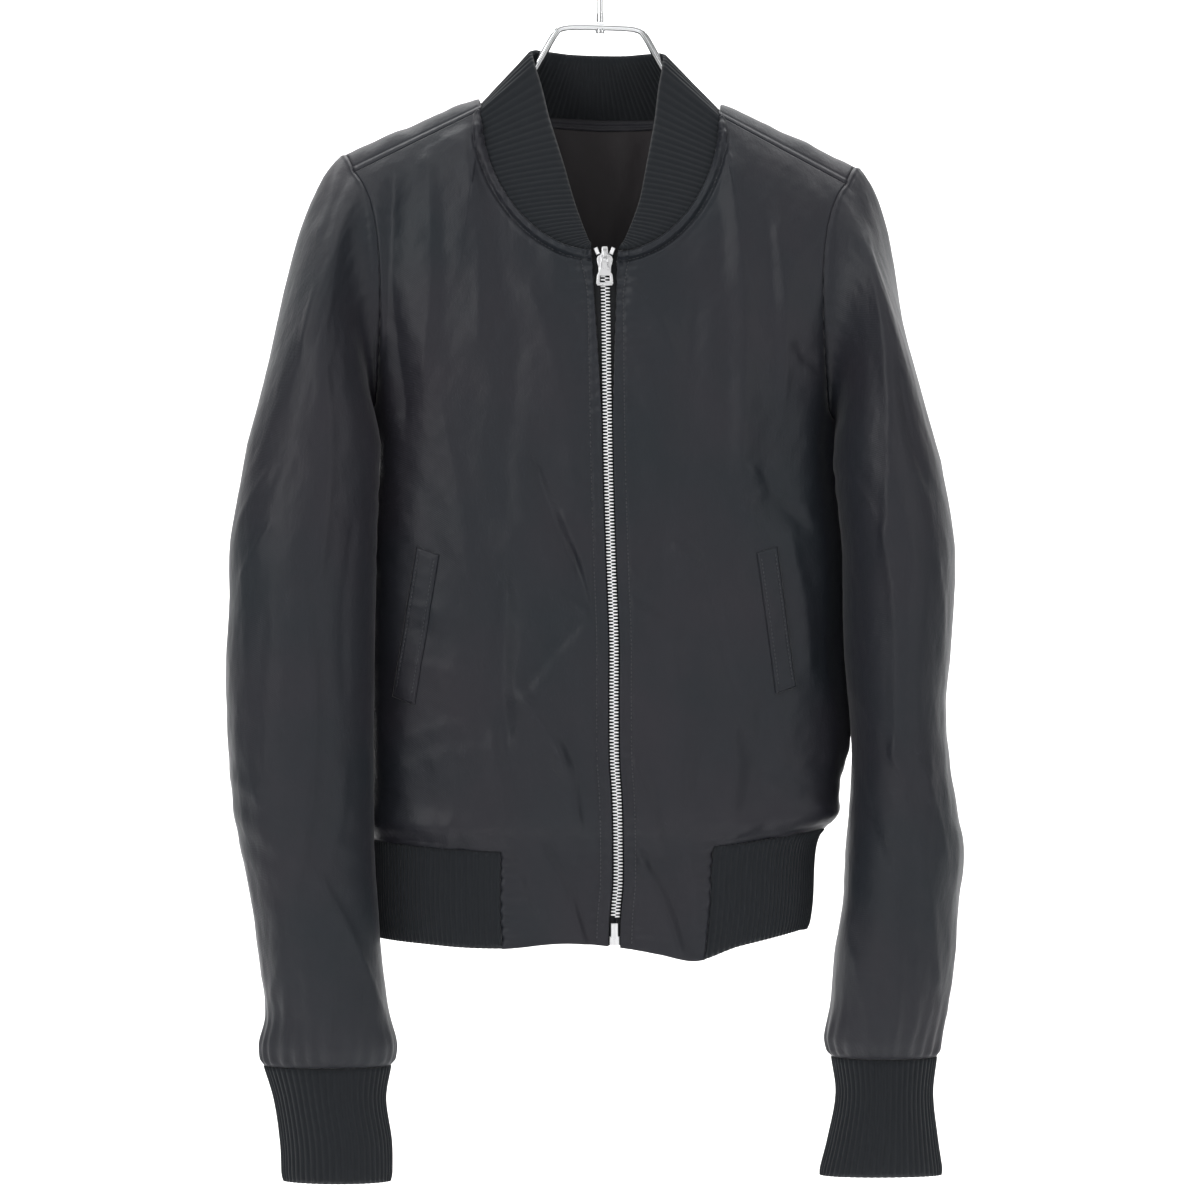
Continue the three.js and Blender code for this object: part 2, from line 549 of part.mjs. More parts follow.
// One sleeve ring, from the armpit side round the front; turn swings its start towards the back
function ringPoint(side, row, k, count) {
  const turn = ((2 * Math.PI * k) / count) - radians(row.turn);
  const middle = (row.inner + row.outer) / 2;
  const reach = (row.outer - row.inner) / 2;
  return vec(side * (middle - reach * Math.cos(turn)), row.y - row.deep * Math.sin(turn), row.z);
}

// How much of the sleeve's cap hangs flat from a short ledge at the shoulder, round the armhole
const CAP_LEDGE = 17;
const CAP_SLOPE = 0.25;
const shoulderFlat = (share) => Math.exp(-(((share - 0.5) / 0.2) ** 2));

function sleeve(side) {
  const rows = side < 0 ? SLEEVE_RIGHT : SLEEVE_LEFT;
  const folds = side < 0 ? SLEEVE_FOLDS_RIGHT : SLEEVE_FOLDS_LEFT;
  const frontEdge = armhole[side].slice(0, YOKE_ROWS + 1).reverse();
  const loop = [...frontEdge, ...armhole[side].slice(YOKE_ROWS + 1).reverse()];
  const rings = rows.map((row) => loop.map((_, k) => ringPoint(side, row, k, SLEEVE_COLUMNS)));
  const curves = loop.map((edge, k) => {
    const next = loop[(k + 1) % loop.length].at;
    const prior = loop[(k + loop.length - 1) % loop.length].at;
    const away = next.clone().sub(prior).cross(edge.normal).normalize();
    if (away.x * side < 0) away.negate();
    if (k === 0) away.set(side * 0.8, 0, -0.6);
    const start = edge.at.clone().addScaledVector(away, SEAM + 0.1);
    const end = rings[0][k];
    const length = start.distanceTo(end);
    const flat = shoulderFlat(k / loop.length);
    const a = start.clone().addScaledVector(away, mix(length * 0.3, CAP_LEDGE, flat));
    const up = vec(-side * CAP_SLOPE * flat, 0, 1).multiplyScalar(length * mix(0.36, 0.7, flat));
    return new THREE.CubicBezierCurve3(start, a, end.clone().add(up), end);
  });
  const cap = Array.from({ length: CAP_ROWS }, (_, j) => curves.map((c) => c.getPoint(j / CAP_ROWS)));
  const grid = [...cap, ...rings];
  const normals = gridNormals(grid, true);
  if (side > 0) normals.flat().forEach((n) => n.negate());
  loop.forEach((edge, k) => normals[0][k].copy(edge.normal));
  normals[0][0].set(-side * 0.6, 0, -0.8);
  flatten(normals, [grid.length - 1], range(0, loop.length - 1));
  const shaped = grid.map((row, j) => row.map((p, k) => {
    const facing = Math.max(0, -normals[j][k].y);
    const ends = fade(j, 0, 2) * (1 - fade(j, grid.length - 3, grid.length - 1));
    return p.clone().addScaledVector(normals[j][k], foldRise(folds, p.x, p.z) * facing * ends);
  }));
  const name = side < 0 ? "sleeve_right" : "sleeve_left";
  return wall(name, shaped, moved(shaped, normals, -CLOTH), true, satin);
}

// Knit rib: the outer points stand up and down in turn over a plain inside
const ribbed = (i) => (i % 2 ? RIB_RELIEF : 0);

function cuff(side) {
  const rows = side < 0 ? CUFF_RIGHT : CUFF_LEFT;
  const build = (count) => rows.map((row, j) => {
    const drop = j === 0 ? SEAM : 0;
    return range(0, count - 1).map((k) => ringPoint(side, { ...row, z: row.z - drop }, k, count));
  });
  const outerPlain = build(2 * CUFF_RIBS);
  const innerPlain = build(CUFF_RIBS / 2);
  const outward = (grid) => {
    const normals = gridNormals(grid, true);
    if (side > 0) normals.flat().forEach((n) => n.negate());
    return normals.map((row) => row.map((n) => n.clone().setZ(0).normalize()));
  };
  const outerNormals = outward(outerPlain);
  const outer = outerPlain.map((row, j) => (
    row.map((p, i) => p.clone().addScaledVector(outerNormals[j][i], ribbed(i)))
  ));
  const name = side < 0 ? "cuff_right" : "cuff_left";
  return wall(name, outer, moved(innerPlain, outward(innerPlain), -RIB_KNIT), true, knit);
}

// Hem rib from one front's tab round the back to the other
function hemRib() {
  const rows = 3;
  const start = -TAB_ANGLE.right - 0.16;
  const end = TAB_ANGLE.left + 0.16;
  const build = (count) => range(0, rows - 1).map((j) => range(0, count).map((k) => {
    const round = mix(start, end - 360, k / count);
    const front180 = round > -90 || round < -270;
    const angle = round < -270 ? round + 360 : round;
    let p = vec(0, 0, 0);
    for (let pass = 0; pass < 3; pass += 1) {
      const top = read(RIB_SEAM, "x", "z", p.x) - SEAM;
      const z = mix(top, read(HEM_LINE, "x", "z", p.x), j / (rows - 1));
      p = front180 ? bodyPoint(angle, z, "front") : bodyPoint(-180 - angle, z, "back");
    }
    return p;
  }));
  const outward = (grid) => gridNormals(grid, false).map((row) => (
    row.map((n) => n.clone().setZ(0).normalize())
  ));
  const outerPlain = build(2 * HEM_RIBS);
  const innerPlain = build(HEM_RIBS / 2);
  const outerNormals = outward(outerPlain);
  const facing = outerNormals[1][0].y < 0 ? 1 : -1;
  const outer = outerPlain.map((row, j) => row.map((p, i) => (
    p.clone().addScaledVector(outerNormals[j][i], facing * ribbed(i))
  )));
  return wall("hem_rib", outer, moved(innerPlain, outward(innerPlain), -facing * RIB_KNIT), false, knit);
}

// Collar: ribs run from the neckline to the folded rim; both faces show, so both are ribbed
function collar() {
  const half = (side) => {
    const edge = neckline[side];
    const lengths = edge.map((e, i) => (i ? e.at.distanceTo(edge[i - 1].at) : 0));
    const total = lengths.reduce((a, b) => a + b, 0);
    let run = 0;
    const places = lengths.map((d) => (run += d) / total);
    const dir = edge.map((e, i) => {
      const next = edge[Math.min(edge.length - 1, i + 1)].at;
      const prior = edge[Math.max(0, i - 1)].at;
      return next.clone().sub(prior).cross(e.normal).normalize().multiplyScalar(-side);
    });
    return (u) => {
      const i = Math.min(edge.length - 2, Math.max(0, places.findIndex((p) => p > u) - 1));
      const k = u >= 1 ? edge.length - 2 : i;
      const t = (u - places[k]) / (places[k + 1] - places[k]);
      const normal = edge[k].normal.clone().lerp(edge[k + 1].normal, t).normalize();
      const lift = dir[k].clone().lerp(dir[k + 1], t).normalize();
      const base = edge[k].at.clone().lerp(edge[k + 1].at, t).addScaledVector(lift, SEAM);
      const z = read(RIM, "u", "z", u);
      const middle = read(RIM_CENTRE, "z", "x", z);
      const rim = vec(middle + side * read(RIM, "u", "half", u), read(RIM, "u", "y", u), z);
      return { base, rim, normal };
    };
  };
  const right = half(-1);
  const left = half(1);
  const count = 2 * COLLAR_RIBS;
  const build = (n) => range(0, n).map((k) => {
    const u = k / n;
    return u < 0.5 ? right(2 * u) : left(2 - 2 * u);
  });
  const spots = build(count);
  const rows = [0, 0.5, 1];
  const face = rows.map((t) => spots.map(({ base, rim, normal }) => (
    base.clone().lerp(rim, t).addScaledVector(normal, 8 * t * (1 - t))
  )));
  const normals = gridNormals(face, false);
  const facing = normals[1][0].y < 0 ? 1 : -1;
  normals.flat().forEach((n) => n.multiplyScalar(facing));
  spots.forEach(({ normal }, i) => normals[0][i].copy(normal));
  const up = rows.map((t, j) => face[j].map((p, i) => p.clone().addScaledVector(normals[j][i], ribbed(i))));
  const inner = rows.map((t, j) => face[j].map((p, i) => (
    p.clone().addScaledVector(normals[j][i], -RIB_KNIT - ribbed(i))
  )));
  return wall("collar", up, inner, false, knit);
}

// Welt pocket strips lie on the fronts' own points, moved out
function welt(side, panel) {
  const { top, foot, wide } = side < 0 ? WELTS.right : WELTS.left;
  const outerAt = (x, z) => {
    const s = section(z);
    const t = Math.min(1, Math.abs(x - s.middle) / s.reach);
    const depth = s.front * (1 - t ** s.power) ** (1 / s.power);
    return -depth - Math.max(0, foldRise(FRONT_FOLDS, x, z)) - WELT_THICK - WELT_GAP;
  };
  const rows = 7;
  const outer = range(0, rows).map((j) => range(0, 2).map((i) => {
    const x = mix(top[0], foot[0], j / rows) + (i / 2 - 0.5) * wide;
    const z = mix(top[1], foot[1], j / rows) - side * (i / 2 - 0.5) * wide * 0.35;
    return vec(x, outerAt(x, z), z);
  }));
  const normals = gridNormals(outer, false);
  const facing = normals[0][0].y < 0 ? 1 : -1;
  const name = side < 0 ? "welt_right" : "welt_left";
  return wall(name, outer, moved(outer, normals, -facing * WELT_THICK), false, satin);
}

const fronts = { "-1": front(-1), 1: front(1) };

// Zip: tapes behind the fronts' edges, the chain between them, the slider at the top with its pull
const ZIP_TOP = -262;
const CHAIN_TOP = -285.5;
const CHAIN_FOOT = -753;
const BOX_FOOT = -769.5;
const CHAIN_HALF = 3;
const TAPE_EDGE = 12;
const zipDepth = (z) => {
  const rise = NECK_SIDE.z - NECK_DROP - ARMPIT_Z;
  if (z > ARMPIT_Z) return -frontColumn(1, 0).getPoint((z - ARMPIT_Z) / rise).y;
  return section(z).front;
};

// Heights along the zip at the fronts' own rows, so that strips keep their distance behind the fronts
const zipRows = fronts[1].shaped.map((row) => row[0].z);

function strip(name, from, to, high, low, behind, thick, material) {
  const heights = [high, ...zipRows.filter((z) => z < high - 1 && z > low + 1), low];
  const outer = heights.map((z) => [from, to].map((x) => vec(zipX(z) + x, -zipDepth(z) + behind, z)));
  const inner = outer.map((row) => row.map((p) => p.clone().add(vec(0, thick, 0))));
  return wall(name, outer, inner, false, material);
}

const CHAIN_BEHIND = 0.2;
const CHAIN_THICK = 2.6;
const TAPE_BEHIND = CLOTH + 0.75;
const TAPE_THICK = 0.9;

// A plate in the XZ plane, from an outline, with an optional window
function plate(outline, thick, y, windowOutline) {
  const shape = new THREE.Shape(outline.map(([x, z]) => new THREE.Vector2(x, z)));
  if (windowOutline) shape.holes.push(new THREE.Path(windowOutline.map(([x, z]) => new THREE.Vector2(x, z))));
  const geometry = new THREE.ExtrudeGeometry(shape, { depth: thick, bevelEnabled: false });
  geometry.rotateX(Math.PI / 2);
  geometry.translate(0, y + thick, 0);
  return geometry;
}

const boxOutline = (x, low, high) => [[-x, low], [x, low], [x, high], [-x, high]];

const MERGE = 1e-4;

function solid(geometry) {
  const source = geometry.index ? geometry.toNonIndexed() : geometry;
  const position = source.getAttribute("position");
  const keys = new Map();
  const vertProperties = [];
  const triVerts = range(0, position.count - 1).map((i) => {
    const p = [position.getX(i), position.getY(i), position.getZ(i)];
    const key = p.map((n) => Math.round(n / MERGE)).join(" ");
    if (!keys.has(key)) {
      keys.set(key, keys.size);
      vertProperties.push(...p);
    }
    return keys.get(key);
  });
  const data = {
    numProp: 3,
    vertProperties: new Float32Array(vertProperties),
    triVerts: new Uint32Array(triVerts),
  };
  return new wasm.Manifold(new wasm.Mesh(data));
}

function joined(name, geometries, material) {
  const whole = geometries.map(solid).reduce((a, b) => a.add(b));
  const made = whole.getMesh();
  const geometry = new THREE.BufferGeometry();
  geometry.setAttribute("position", new THREE.Float32BufferAttribute(made.vertProperties, 3));
  geometry.setIndex([...made.triVerts]);
  geometry.computeVertexNormals();
  const mesh = new THREE.Mesh(geometry, material);
  mesh.name = name;
  return mesh;
}

// The slider sits on the zip's line at this height, tipped back with the cloth's slope
const SLIDER_Z = -272.5;
const SLIDER_TIP = THREE.MathUtils.degToRad(-4);
const PLATE_FRONT = -3.2;
const PLATE_THICK = 1.7;
const AXIS_Y = -4.6;
const BRIDGE = { half: 1.2, reach: 3.5, open: 1.9, high: 3.6, bar: 0.85 };
const AXIS_Z = 4.5;
const PULL_THICK = 1.4;

function sliderGroup() {
  const group = new THREE.Group();
  const shield = [[-2.2, 10.5], [-2.6, 4.5], [-5.9, 1.5], [-5.4, -2.5], [-4.6, -5], [-4.6, -10.5],
    [4.6, -10.5], [4.6, -5], [5.4, -2.5], [5.9, 1.5], [2.6, 4.5], [2.2, 10.5]];
  const face = plate(shield, PLATE_THICK, PLATE_FRONT);
  const core = plate(boxOutline(1.6, -9, 9), 5.5, PLATE_FRONT + PLATE_THICK - 0.2);
  const rear = plate(boxOutline(4.4, -10, 6), 1.2, PLATE_FRONT + PLATE_THICK + 5.1);
  const out = PLATE_FRONT - BRIDGE.high;
  const posts = [1, -1].map((end) => {
    const ends = [AXIS_Z + end * BRIDGE.open, AXIS_Z + end * BRIDGE.reach].sort((a, b) => a - b);
    return plate(boxOutline(BRIDGE.half, ...ends), BRIDGE.high + 0.2, out);
  });
  const bridge = plate(boxOutline(BRIDGE.half, AXIS_Z - BRIDGE.reach, AXIS_Z + BRIDGE.reach), BRIDGE.bar, out);
  group.add(joined("zip_slider", [face, core, rear, ...posts, bridge], silver));
  const tab = [[-2.9, AXIS_Z + 0.7], [-2.9, -4], [-5.6, -10], [-6.2, -17], [-5.2, -18.5],
    [5.2, -18.5], [6.2, -17], [5.6, -10], [2.9, -4], [2.9, AXIS_Z + 0.7]];
  const eye = plate(boxOutline(1.6, AXIS_Z - 5.4, AXIS_Z - 0.7), PULL_THICK * 3, AXIS_Y - PULL_THICK * 1.5);
  const slot = plate(boxOutline(3.6, -16.2, -10.8), PULL_THICK * 3, AXIS_Y - PULL_THICK * 1.5);
  const blank = solid(plate(tab, PULL_THICK, AXIS_Y - PULL_THICK / 2));
  const cut = blank.subtract(solid(eye)).subtract(solid(slot)).getMesh();
  const geometry = new THREE.BufferGeometry();
  geometry.setAttribute("position", new THREE.Float32BufferAttribute(cut.vertProperties, 3));
  geometry.setIndex([...cut.triVerts]);
  geometry.computeVertexNormals();
  const pull = new THREE.Mesh(geometry, silver);
  pull.name = "zip_pull";
  group.add(pull);
  group.position.set(zipX(SLIDER_Z), -zipDepth(SLIDER_Z) + 0.6, SLIDER_Z);
  group.rotation.x = SLIDER_TIP;
  return group;
}

// Top stops stand splayed on the tapes, one each side of the slider's nose
const STOP_Z = -265;
const STOP_OUT = 5.6;
const STOP_TILT = radians(22);

function block(name, width, depth, height, at, tilt, material) {
  const mesh = new THREE.Mesh(new THREE.BoxGeometry(width, depth, height), material);
  mesh.name = name;
  mesh.position.copy(at);
  mesh.rotation.y = tilt;
  return mesh;
}

// Hanger: a shaped bar through the shoulders, and a hook with its ferrule and rivet
function rod(points, radius, steps) {
  const curve = new THREE.CatmullRomCurve3(points.map((p) => leaning(vec(...p))), false, "catmullrom", 0.15);
  const ring = new THREE.Shape(new THREE.EllipseCurve(0, 0, radius, radius).getPoints(10).slice(0, 10));
  return new THREE.ExtrudeGeometry(ring, { steps, extrudePath: curve });
}

const HANGER_POINTS = [
  [-178, 0, -203], [-150, 0, -189], [-110, 0, -170.5], [-80, 0, -157], [-64, 0, -148], [-53, 0, -134],
  [-44, 0, -119],
  [-33, 0, -100], [-27, 0, -95.6], [-14, 0, -94.5], [14, 0, -94.5], [27, 0, -95.6], [33, 0, -100],
  [44, 0, -119],
  [53, 0, -134], [64, 0, -148], [80, 0, -157], [110, 0, -170.5], [150, 0, -189], [178, 0, -203],
];
const HOOK_POINTS = [
  [0, 0, -89], [0, 0, -70], [0, 0, -54], [5, 0, -45], [15.7, 0, -35.9], [21, 0, -27.5], [22.2, 0, -20],
  [20.5, 0, -11.5],
  [15.7, 0, -4.3], [8.5, 0, 0.5], [0, 0, 2.2], [-8.5, 0, 0.5], [-15.7, 0, -4.3], [-20.5, 0, -11.5],
  [-22, 0, -20],
  [-21, 0, -28],
];
const HOOK_BAR = 4.4;
const FERRULE = { radius: 2.9, high: -84, low: -91.2 };
const RIVET = { radius: 3.6, high: -96, low: -99.6 };

function drum(radius, high, low) {
  const geometry = new THREE.CylinderGeometry(radius, radius, high - low, 12);
  geometry.rotateX(Math.PI / 2);
  geometry.translate(0, 0, (high + low) / 2);
  return geometry;
}

function hanger() {
  const bar = [rod(HANGER_POINTS, BAR / 2, 56), drum(RIVET.radius, RIVET.high, RIVET.low)];
  const hook = [rod(HOOK_POINTS, HOOK_BAR / 2, 30), drum(FERRULE.radius, FERRULE.high, FERRULE.low)];
  return [joined("hanger_frame", bar, chrome), joined("hanger_hook", hook, chrome)];
}

jacket.add(fronts["-1"].mesh, fronts[1].mesh, backPanel());
jacket.add(sleeve(-1), sleeve(1), cuff(-1), cuff(1), hemRib(), collar());
jacket.add(welt(-1), welt(1));
const TAPE_TOP = ZIP_TOP - 4;
const tapeStrip = (name, from, to) => strip(name, from, to, TAPE_TOP, BOX_FOOT, TAPE_BEHIND, TAPE_THICK, tape);
jacket.add(tapeStrip("zip_tape_right", -TAPE_EDGE, -CHAIN_HALF - SEAM));
jacket.add(tapeStrip("zip_tape_left", CHAIN_HALF + SEAM, TAPE_EDGE));
jacket.add(
  strip("zip_chain", -CHAIN_HALF, CHAIN_HALF, CHAIN_TOP, CHAIN_FOOT, CHAIN_BEHIND, CHAIN_THICK, silver),
);
jacket.add(strip("zip_box", -3.6, 3.6, CHAIN_FOOT - SEAM, BOX_FOOT, -0.6, 2.6, silver));
jacket.add(sliderGroup());
[-1, 1].forEach((side) => {
  const at = vec(zipX(STOP_Z) + side * STOP_OUT, -zipDepth(STOP_Z) + 0.6, STOP_Z);
  jacket.add(block(side < 0 ? "zip_stop_right" : "zip_stop_left", 2.6, 2.4, 5, at, side * STOP_TILT, silver));
});
jacket.add(...hanger());

export default jacket;
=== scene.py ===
import math

import bmesh
import bpy
import numpy as np
from mathutils import Matrix, Vector


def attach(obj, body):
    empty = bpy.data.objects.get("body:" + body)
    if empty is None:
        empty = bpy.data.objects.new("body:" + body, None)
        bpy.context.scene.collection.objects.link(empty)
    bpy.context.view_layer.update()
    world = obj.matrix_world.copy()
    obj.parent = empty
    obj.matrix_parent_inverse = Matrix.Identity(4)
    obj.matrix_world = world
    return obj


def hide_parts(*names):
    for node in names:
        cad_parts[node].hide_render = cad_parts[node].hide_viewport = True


bl_info = {
    "name": "Bomber jacket",
    "version": (1, 0, 0),
    "blender": (4, 5, 0),
    "location": "3D View > Sidebar > Jacket",
    "description": "Builds a satin bomber jacket on a hanger around its frame",
    "category": "Object",
}

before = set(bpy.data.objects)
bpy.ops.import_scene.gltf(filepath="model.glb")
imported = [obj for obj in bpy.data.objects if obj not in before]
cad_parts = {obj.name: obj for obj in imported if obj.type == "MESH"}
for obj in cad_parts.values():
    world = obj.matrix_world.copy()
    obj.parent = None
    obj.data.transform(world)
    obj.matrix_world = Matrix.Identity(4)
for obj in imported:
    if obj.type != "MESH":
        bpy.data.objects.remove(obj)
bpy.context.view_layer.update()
BODY = "garment"
PULL_BODY = "pull_tab"
MM = 0.001


# Tables, in millimetres, in the part's own frame: the front faces -Y and the hook's inside top is the origin
def table(names, *rows):
    """A table with named columns, as arrays."""
    return {name: np.array([row[k] for row in rows], float) for k, name in enumerate(names.split())}


ARMPIT_Z = -385
SECTIONS = table(
    "z left right front back power",
    (-385, -165, 169, 56, 44, 2.8),
    (-411, -164, 168, 56, 45, 2.7),
    (-448, -168, 172, 57, 46, 2.6),
    (-485, -171, 174, 58, 46, 2.6),
    (-559, -171, 175, 58, 46, 2.6),
    (-605, -171, 180, 57.5, 46, 2.6),
    (-640, -171, 179, 57, 46, 2.6),
    (-668, -171, 174, 56, 45, 2.6),
    (-682, -170.5, 170, 54, 44, 2.6),
    (-692, -169.5, 162, 50, 42, 2.6),
    (-707, -169, 158.4, 47.5, 40.5, 2.6),
    (-744, -168.5, 156, 46.5, 40, 2.6),
    (-785, -163, 149, 45.5, 39, 2.6),
)
ZIP_LINE = table(
    "z x",
    (-250, 3), (-265, 3.3), (-315, 4.3), (-373, 5.1), (-431, 6.2), (-489, 8), (-547, 10.1), (-591, 10.1),
    (-634, 10.5), (-663, 12.3), (-700, 13.1), (-725, 13), (-739, 11.8), (-755, 10.7), (-790, 10.1),
)
ZIP_GAP = table("z half", (-800, 4.2), (-300, 4.2), (-285, 6), (-270, 9), (-255, 10.5))
RIB_SEAM = table("x z", (-170, -695), (-71, -701), (82, -697), (160, -687))
HEM_LINE = table(
    "x z",
    (-168, -766.5), (-131, -769.5), (-72, -772), (-25, -768), (11, -770.5), (43, -776), (71, -781), (102, -771),
    (147, -761),
)
RIM = table(
    "u half y z",
    (0, 11, -47, -259), (0.05, 16.7, -44.5, -246), (0.123, 23.7, -39, -226), (0.2, 29.5, -33, -202),
    (0.29, 35.2, -26, -179), (0.366, 39, -20, -162.7), (0.467, 43.2, -14, -139.6), (0.53, 47.5, -9, -122),
    (0.6, 49, -1, -112.5), (0.725, 41.5, 9, -110.8), (0.843, 22, 12, -112.4), (1, 0, 13, -112.8),
)
RIM_CENTRE = table("z x", (-260, 4.6), (-220, 4.6), (-150, 0.5), (-110, -2))
RING = "z inner outer y deep turn"
SLEEVES = {
    1: table(
        RING,
        (-411, 171, 250, -18, 64, 10), (-446, 174.5, 256, -20, 66, 6), (-481, 178, 260, -20, 67, 0),
        (-555, 179.5, 257, -20, 66, 0), (-592, 182.5, 253.5, -20, 64, 0), (-629, 184.5, 255.5, -20, 62, 0),
        (-666, 183.5, 261, -20, 60, 0), (-703, 180, 267, -20, 56, 0), (-740, 178, 263, -20, 52, 0),
        (-777, 172, 261, -20, 48, 0), (-814, 169, 256, -20, 42, 0), (-838, 165, 251, -20, 34, 0),
        (-848, 167, 249, -20, 27, 0), (-853, 170, 247, -20, 22, 0),
    ),
    -1: table(
        RING,
        (-411, 160, 257, -40, 50, 34), (-448, 161, 263, -46, 53, 22), (-485, 162, 268.5, -48, 54, 10),
        (-522, 163, 268.5, -48, 54, 0), (-559, 163.5, 271, -48, 53, 0), (-615, 164, 270, -48, 52, 0),
        (-670, 164, 266, -48, 50, 0), (-707, 163.5, 259, -48, 48, 0), (-744, 161, 252, -48, 45, 0),
        (-781, 158, 247, -48, 41, 0), (-818, 153, 242.5, -47, 36, 0), (-839, 148, 247, -46, 32, 0),
        (-850, 149, 246.5, -46, 26, 0), (-856, 152, 244, -46, 21, 0),
    ),
}
CUFFS = {
    1: table(
        RING,
        (-853.4, 170, 247, -20, 22, 0), (-880, 173.5, 244, -20, 21, 0), (-912, 168, 247, -20, 20, 0),
        (-940, 161, 251, -20, 17, 0),
    ),
    -1: table(
        RING,
        (-856.4, 152, 244, -46, 21, 0), (-880, 155.5, 237, -46, 20, 0), (-912, 151, 232.5, -46, 19, 0),
        (-940, 150.5, 231.5, -46, 17, 0),
    ),
}
NECK_SIDE = (88, -14, -160)
SHOULDER_TIP = (181, -14, -208)
NECK_DROP = 104.2
NECK_POWER = 1.85
BACK_NECK = [(0, 46, -155), (40, 43, -154), (70, 33, -152), (88.5, 5, -154), (88, -14, -160)]
TAB_SHARE = 4 / 14
TAB_ANGLE = {-1: 24, 1: 32}
LEAN = math.tan(math.radians(1.4))
SEAM = 0.35

# Folds as they lie seen from the front: ends, reach to each side, rise (a trough is negative), lean of the crest
FOLD = "x0 z0 x1 z1 reach rise skew"
FRONT_FOLDS = table(
    FOLD,
    (-98, -195, -88, -325, 13, 3.5, 0.4), (-152, -228, -144, -375, 12, -4, 0),
    (-126, -205, -128, -350, 9, 2, 0.5), (-46, -425, -18, -492, 6, -2.8, 0.6),
    (-28, -514, -8, -529, 3, 1.5, 0.5), (-26, -460, -6, -516, 4, 1.8, -0.7),
    (-53, -592, -27, -632, 8, 3.2, 0.8), (-27, -632, -17, -673, 7, 2.8, 0.8),
    (-69, -511, -69, -610, 11, -3.2, 0.4), (-140, -640, -92, -628, 9, 0.8, 0.5),
    (-142, -618, -100, -608, 6, 0.6, 0.6), (-134, -540, -98, -548, 9, -0.7, 0.5),
    (-132, -524, -98, -530, 6, 0.5, 0.6), (-130, -566, -96, -574, 6, 0.5, 0.6),
    (-38, -705, -14, -762, 7, 3.2, 0.8), (-60, -702, -46, -740, 6, 2.2, -0.6),
    (-48, -300, -20, -420, 12, 1.8, 0.4), (-20, -540, -52, -580, 6, -1.6, 0.3),
    (-76, -620, -70, -690, 8, 2.4, 0.5), (-104, -650, -110, -694, 9, 1, -0.5),
    (-60, -340, -66, -450, 12, -1.8, 0), (-112, -400, -96, -500, 10, 1.8, 0.4),
    (96, -206, 102, -408, 13, 3.5, -0.4), (124, -433, 146, -457, 8, -3.2, 0.4),
    (112, -424, 134, -440, 5, 1.8, 0.6), (146, -334, 156, -343, 5, -2.2, 0), (96, -620, 97, -674, 10, 2, 0.5),
    (118, -598, 119, -676, 11, -1.8, 0.2), (138, -640, 168, -655, 10, 1.5, 0.5),
    (126, -652, 164, -672, 6, 1.2, 0.6), (32, -712, 56, -768, 8, 3.4, 0.8), (25, -522, 40, -529, 4, 1.5, 0.6),
    (57, -480, 71, -487, 4, 1.5, 0.6), (18, -492, 30, -504, 4, 1.6, 0.7), (24, -290, 52, -330, 8, 1.6, 0.6),
    (56, -560, 60, -660, 10, 2, 0.4), (26, -640, 42, -690, 8, 2.2, 0.7), (70, -300, 64, -420, 12, -1.8, 0),
    (130, -250, 134, -360, 9, 2.2, -0.5), (80, -520, 96, -580, 9, -1.8, 0.3),
    (140, -480, 152, -560, 9, 2, 0.3), (66, -712, 74, -764, 7, 1.8, -0.5), (18, -704, 24, -740, 5, 1.6, 0.5),
)
BACK_FOLDS = table(
    FOLD,
    (-92, -215, -80, -380, 15, 3, 0.4), (96, -215, 88, -400, 15, 3, -0.4), (-40, -430, -58, -610, 14, -3, 0.3),
    (48, -470, 66, -640, 14, -3, 0.3), (0, -560, 6, -680, 12, 3, 0.5), (-128, -560, -118, -680, 11, 3.5, 0.5),
    (126, -540, 120, -678, 11, 3.5, -0.5), (-24, -250, -16, -360, 12, -2, 0), (30, -300, 22, -430, 13, 2, 0.5),
    (-120, -430, -84, -470, 8, 2.4, 0.7), (118, -420, 86, -456, 8, 2.4, 0.7), (-70, -640, -64, -694, 7, 2.4, 0.5),
    (78, -630, 74, -690, 7, 2.4, 0.5), (34, -640, 30, -694, 6, -2, 0.4), (-100, -500, -70, -540, 8, -1.8, 0.4),
    (100, -510, 72, -550, 8, 1.8, 0.6), (-140, -300, -132, -400, 9, -2.4, 0), (140, -300, 134, -400, 9, -2.4, 0),
)
